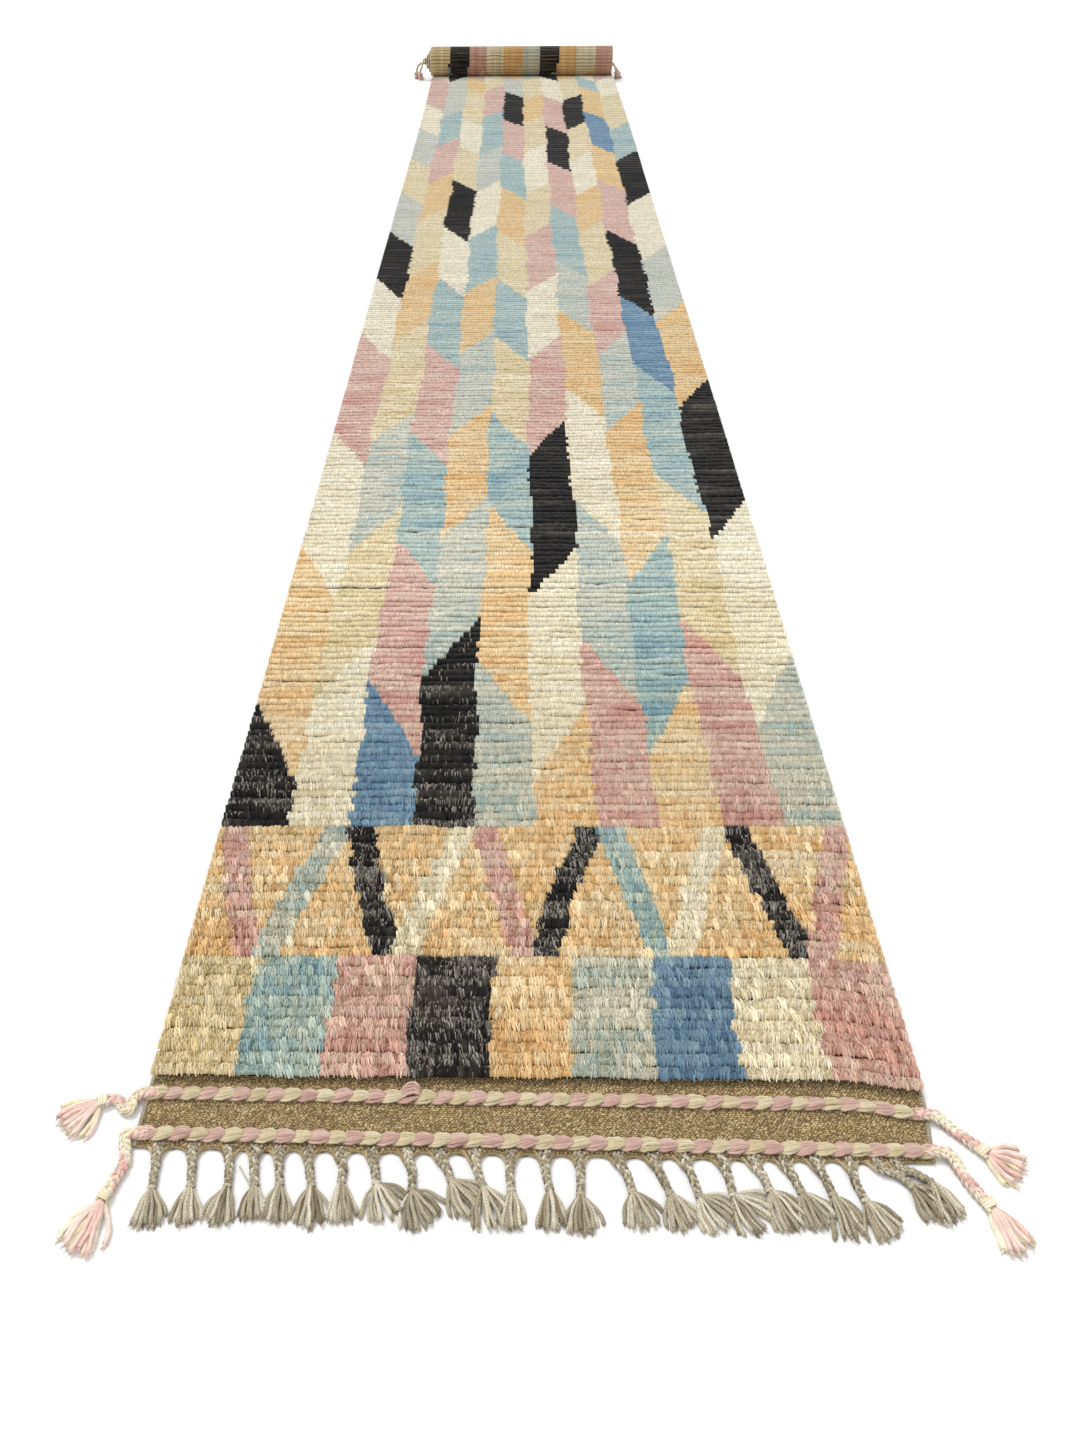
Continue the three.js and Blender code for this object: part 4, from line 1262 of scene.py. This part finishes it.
def tail_parts(tail, braid, rng):
    side = tail["side"]
    edge = side * HALF
    start = edge - side * 0.012
    line = float(braid_line(braid, edge))
    half_high = 0.5 * TAIL_HEIGHT
    path = curve_through(
        [
            world(start, float(braid_line(braid, start)), KILIM_THICKNESS + 0.0045),
            world(edge + side * 0.004, line - 0.001, KILIM_THICKNESS + 0.0045),
            world(edge + side * 0.011, line - 0.005, half_high + 0.0022),
            *[world(0.001 * x, 0.001 * y, half_high + 0.0003) for x, y in tail["way"]],
        ],
        TAIL_STEPS,
    )
    woven, light = plait(path, TAIL_WIDTH, TAIL_HEIGHT, TAIL_BEAT, 4, TAIL_YARN, rng)
    tones = [TAIL_PINK if k % 4 in (0, 1) else TAIL_CREAM for k in range(len(woven))]
    plait_colours = np.array([mixed(t, 0.9, rng, 1)[0] for t in tones])
    towards = unit(path[-1] - path[-3])
    knot_turns = [
        wrap(path[-1] + towards * out + KNOT_LIFT, towards, KNOT_RADIUS, 1.1, 0.003, steps=14)
        for out in (-0.003, 0.0, 0.003)
    ]
    knot_colours_here = mixed(TAIL_CREAM, 0.8, rng, 3)
    root = path[-1] + towards * 0.004
    length = 0.001 * tail["length"]
    loose = tuft(root, tail["aim"], tail["spread"], length, LOOSE_YARNS, 0.009, rng, steps=LOOSE_STEPS)
    order = [TAIL_CREAM] * (LOOSE_YARNS // 2) + [TAIL_PINK] * (LOOSE_YARNS // 2)
    loose_colours = np.array([mixed(t, 0.9, rng, 1)[0] for t in order])
    thick = np.linspace(0.0019, 0.0030, LOOSE_STEPS)
    return [
        yarns(woven, TAIL_YARN, plait_colours[:, None] * (0.5 + 0.5 * light)),
        yarns(knot_turns, KNOT_YARN, knot_colours_here, sides=6),
        yarns(loose, thick, loose_colours, sides=6),
        frayed(loose, 0.0038, loose_colours, rng, threads=6, length=0.0036),
    ]


def braid_piece(which, seed):
    rng = np.random.default_rng(seed)
    braid = BRAIDS[which]
    paths, colours = lobe_yarns(braid, rng)
    parts = [yarns(paths, BRAID_YARN, colours)]
    for tail in FRONT_TAILS[which]:
        parts += tail_parts(tail, braid, rng)
    piece = repeat(f"twined_braid_{which}", parts, BRAID_WOOL)
    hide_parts(f"braid_{which}")


braid_piece("inner", 61)
braid_piece("outer", 62)

# %% [markdown]
# ## The fringe
# At the front the warps are gathered and plaited into twenty-four tassels. A short wrap holds each
# plait, and below it the yarns fan out over the floor. Each tassel is a row of the table among the
# measures, so none lies quite like its neighbour.

# %% Tassels
PLAIT_STEPS = 19
PLAIT_WIDTH = np.interp(np.arange(PLAIT_STEPS), [0, 3, 8, 18], [0.0150, 0.0118, 0.0104, 0.0086])
PLAIT_HEIGHT = np.interp(np.arange(PLAIT_STEPS), [0, 8, 18], [0.0060, 0.0078, 0.0070])
PLAIT_BEAT = 0.0165
PLAIT_YARN = 0.0015
HALF_HIGH = 0.0039  # the middle of a plait above the floor
ROOT_YARNS = 8
ROOT_YARN = 0.0013
TUFT_YARNS = 14
TIE_LIFT = np.array([0, 0, 0.0006])
STRAY_YARN = [(-0.2770, -0.1180), (-0.2785, -0.1136), (-0.2850, -0.1060), (-0.2915, -0.0963)]


def tassel_parts(tassel, rng):
    aim, spread = tassel[3:5]
    root_x, right, ahead, _, _, length = np.array(tassel) * 0.001
    edge = float(cloth_end(root_x))
    sway = rng.normal(0, 0.0012)
    path = curve_through(
        [
            world(root_x, edge + 0.006, KILIM_THICKNESS + 0.0016),
            world(root_x + 0.12 * right, edge - 0.005, HALF_HIGH + 0.0012),
            world(root_x + 0.55 * right + sway, edge - 0.5 * ahead, HALF_HIGH + 0.0008),
            world(root_x + right, edge - ahead, HALF_HIGH),
        ],
        PLAIT_STEPS,
    )
    beat = PLAIT_BEAT * rng.uniform(0.92, 1.1)
    woven, light = plait(path, PLAIT_WIDTH, PLAIT_HEIGHT, beat, 3, PLAIT_YARN, rng)
    woven_colours = mixed(FRINGE_TONES, 1, rng, len(woven))[:, None] * light
    towards = unit(path[-1] - path[-3])
    tie = [wrap(path[-1] + towards * 0.001 + TIE_LIFT, towards, 0.0038, 1.6, 0.0022)]
    tie_colour = mixed(FRINGE_TONES, 0.6, rng, 1)
    loose = tuft(path[-1] + towards * 0.0025, aim, spread, 0.9 * length, TUFT_YARNS, 0.0095, rng)
    loose_colours = mixed(FRINGE_TONES, 1, rng, len(loose))
    thick = np.linspace(0.0013, 0.0019 + 0.000012 * spread, 7)
    gathered = []
    for k in range(ROOT_YARNS):
        share = (k + 0.5) / ROOT_YARNS * 2 - 1
        start_x = root_x + share * 0.0115
        start_y = float(cloth_end(start_x)) + 0.0035 + rng.normal(0, 0.0010)
        start = world(start_x, start_y, KILIM_THICKNESS + 0.0004)
        lip = world(root_x + share * 0.0075, edge - 0.0012, KILIM_THICKNESS + 0.0012)
        join = world(root_x + 0.10 * right + share * 0.0040, edge - 0.0075, HALF_HIGH + 0.0008)
        gathered.append(curve_through([start, lip, join], 6))
    gathered_colours = 0.8 * mixed(KILIM_TONES, 1, rng, ROOT_YARNS)
    return [
        yarns(woven, PLAIT_YARN, woven_colours),
        yarns(tie, 0.0011, tie_colour),
        yarns(loose, thick, loose_colours),
        frayed(loose, 0.002, loose_colours, rng, threads=3),
        yarns(gathered, ROOT_YARN, gathered_colours),
    ]


fringe_rng = np.random.default_rng(71)
fringe_parts = [part for tassel in TASSELS for part in tassel_parts(tassel, fringe_rng)]
edge_x = np.linspace(-HALF, HALF, 241)
edge_line = lay(edge_x, -KILIM_LENGTH, 0.0020) + [0, 0.0006, 0]
# The cord along the cloth's end has its own kilim tone, darkened with painted shade along the edge
shaded_edge_colour = 0.55 * mixed(KILIM_TONES, 0.5, fringe_rng, 1)
fringe_parts.append(yarns([edge_line], 0.0015, shaded_edge_colour, sides=6))
stray = curve_through([world(x, y, 0.007 - 0.0015 * k) for k, (x, y) in enumerate(STRAY_YARN)], 8)
fringe_parts.append(yarns([stray], 0.0009, mixed(FRINGE_TONES, 0.5, fringe_rng, 1)))
fringe = repeat("plaited_fringe", fringe_parts, FRINGE_WOOL)
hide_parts("fringe")

# %% [markdown]
# ## The far end's braids
# The far end has the same two braids. They lie in the core of the roll, and their tails hang out at
# both ends and stand on the floor. The points are each tail's distance past the core and its
# height, in millimetres, as in the model.

# %% Far tails
FAR_BRAIDS = {
    "inner": {"turns": 3.47, "radius": 0.0033},
    "outer": {"turns": 4.0, "radius": 0.0028},
}
SIDEWAYS = (0.0, 1.0, 0.0)  # which way counts as up for a tail that hangs
FAR_YARN = 0.0014
FAR_LOOSE = 22
FAR_TAILS = {
    "inner": [
        {"side": -1, "droop": [(4, 76.5), (10, 66), (16, 50), (25, 31)], "foot": (24, -16)},
        {"side": 1, "droop": [(4, 76.5), (20, 72), (37, 56), (50, 30)], "foot": (53, -16)},
    ],
    "outer": [
        {"side": -1, "droop": [(4, 62.8), (20, 60), (35, 48), (42, 28)], "foot": (43, 12)},
        {"side": 1, "droop": [(4, 62.8), (20, 59), (42, 46), (60, 26)], "foot": (64, 12)},
    ],
}


def far_tail_parts(which, tail, rng):
    turns, radius = FAR_BRAIDS[which]["turns"], FAR_BRAIDS[which]["radius"]
    side = tail["side"]
    angle = math.tau * turns
    seat = ROLL_RADIUS - ROLL_PITCH * turns - KILIM_THICKNESS - 0.0003 - 1.15 * radius
    end = side * HALF + FAR_DRIFT + float(telescope(turns))
    y = FLAT_LENGTH + ROLL_SKEW * side + seat * math.sin(angle)
    z = ROLL_RADIUS - seat * math.cos(angle)
    foot = np.array(tail["foot"]) * 0.001
    points = [world(end - side * 0.03, y, z)]
    for k, (out, height) in enumerate(tail["droop"]):
        high = z if k == 0 else height * 0.001
        points.append(world(end + side * out * 0.001, y + foot[1] * min(1, k / 2), high))
    path = curve_through(points, 26)
    woven, _ = plait(path, 0.0090, 0.0078, 0.016, 3, FAR_YARN, rng, upright=SIDEWAYS)
    tones = [BRAID_PINK if k % 3 == 0 else BRAID_CREAM for k in range(len(woven))]
    woven_colours = np.array([mixed(t, 0.9, rng, 1)[0] for t in tones])
    towards = unit(path[-1] - path[-3])
    tie = [wrap(path[-1], towards, 0.0036, 2.0, 0.004, upright=SIDEWAYS)]
    loose = []
    for k in range(FAR_LOOSE):
        share = (k + 0.5) / FAR_LOOSE * 2 - 1
        bulge = path[-1] + np.array([0.006 * rng.normal(), 0.013 * share, -0.35 * path[-1][2]])
        stand = world(end + side * (foot[0] + 0.006 * rng.normal()), y + foot[1] + 0.015 * share, 0.004)
        low = stand + np.array([side * rng.uniform(-0.006, 0.011), 0.004 * share, -0.0022])
        loose.append(curve_through([path[-1], bulge, stand + np.array([0, 0, 0.004]), low], 8))
    tones = [BRAID_PINK if k % 5 < 3 else BRAID_CREAM for k in range(FAR_LOOSE)]
    loose_colours = np.array([mixed(t, 0.9, rng, 1)[0] for t in tones])
    return [
        yarns(woven, FAR_YARN, woven_colours, sides=4, upright=SIDEWAYS),
        yarns(tie, FAR_YARN, woven_colours[:1], sides=4, upright=SIDEWAYS),
        yarns(loose, 0.0018, loose_colours, sides=4, upright=(0.1, 1.0, 0.2)),
    ]


def far_braid_piece(which, seed):
    rng = np.random.default_rng(seed)
    parts = [part for tail in FAR_TAILS[which] for part in far_tail_parts(which, tail, rng)]
    piece = repeat(f"far_tails_{which}", parts, BRAID_WOOL)
    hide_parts(f"braid_far_{which}")


far_braid_piece("inner", 81)
far_braid_piece("outer", 82)
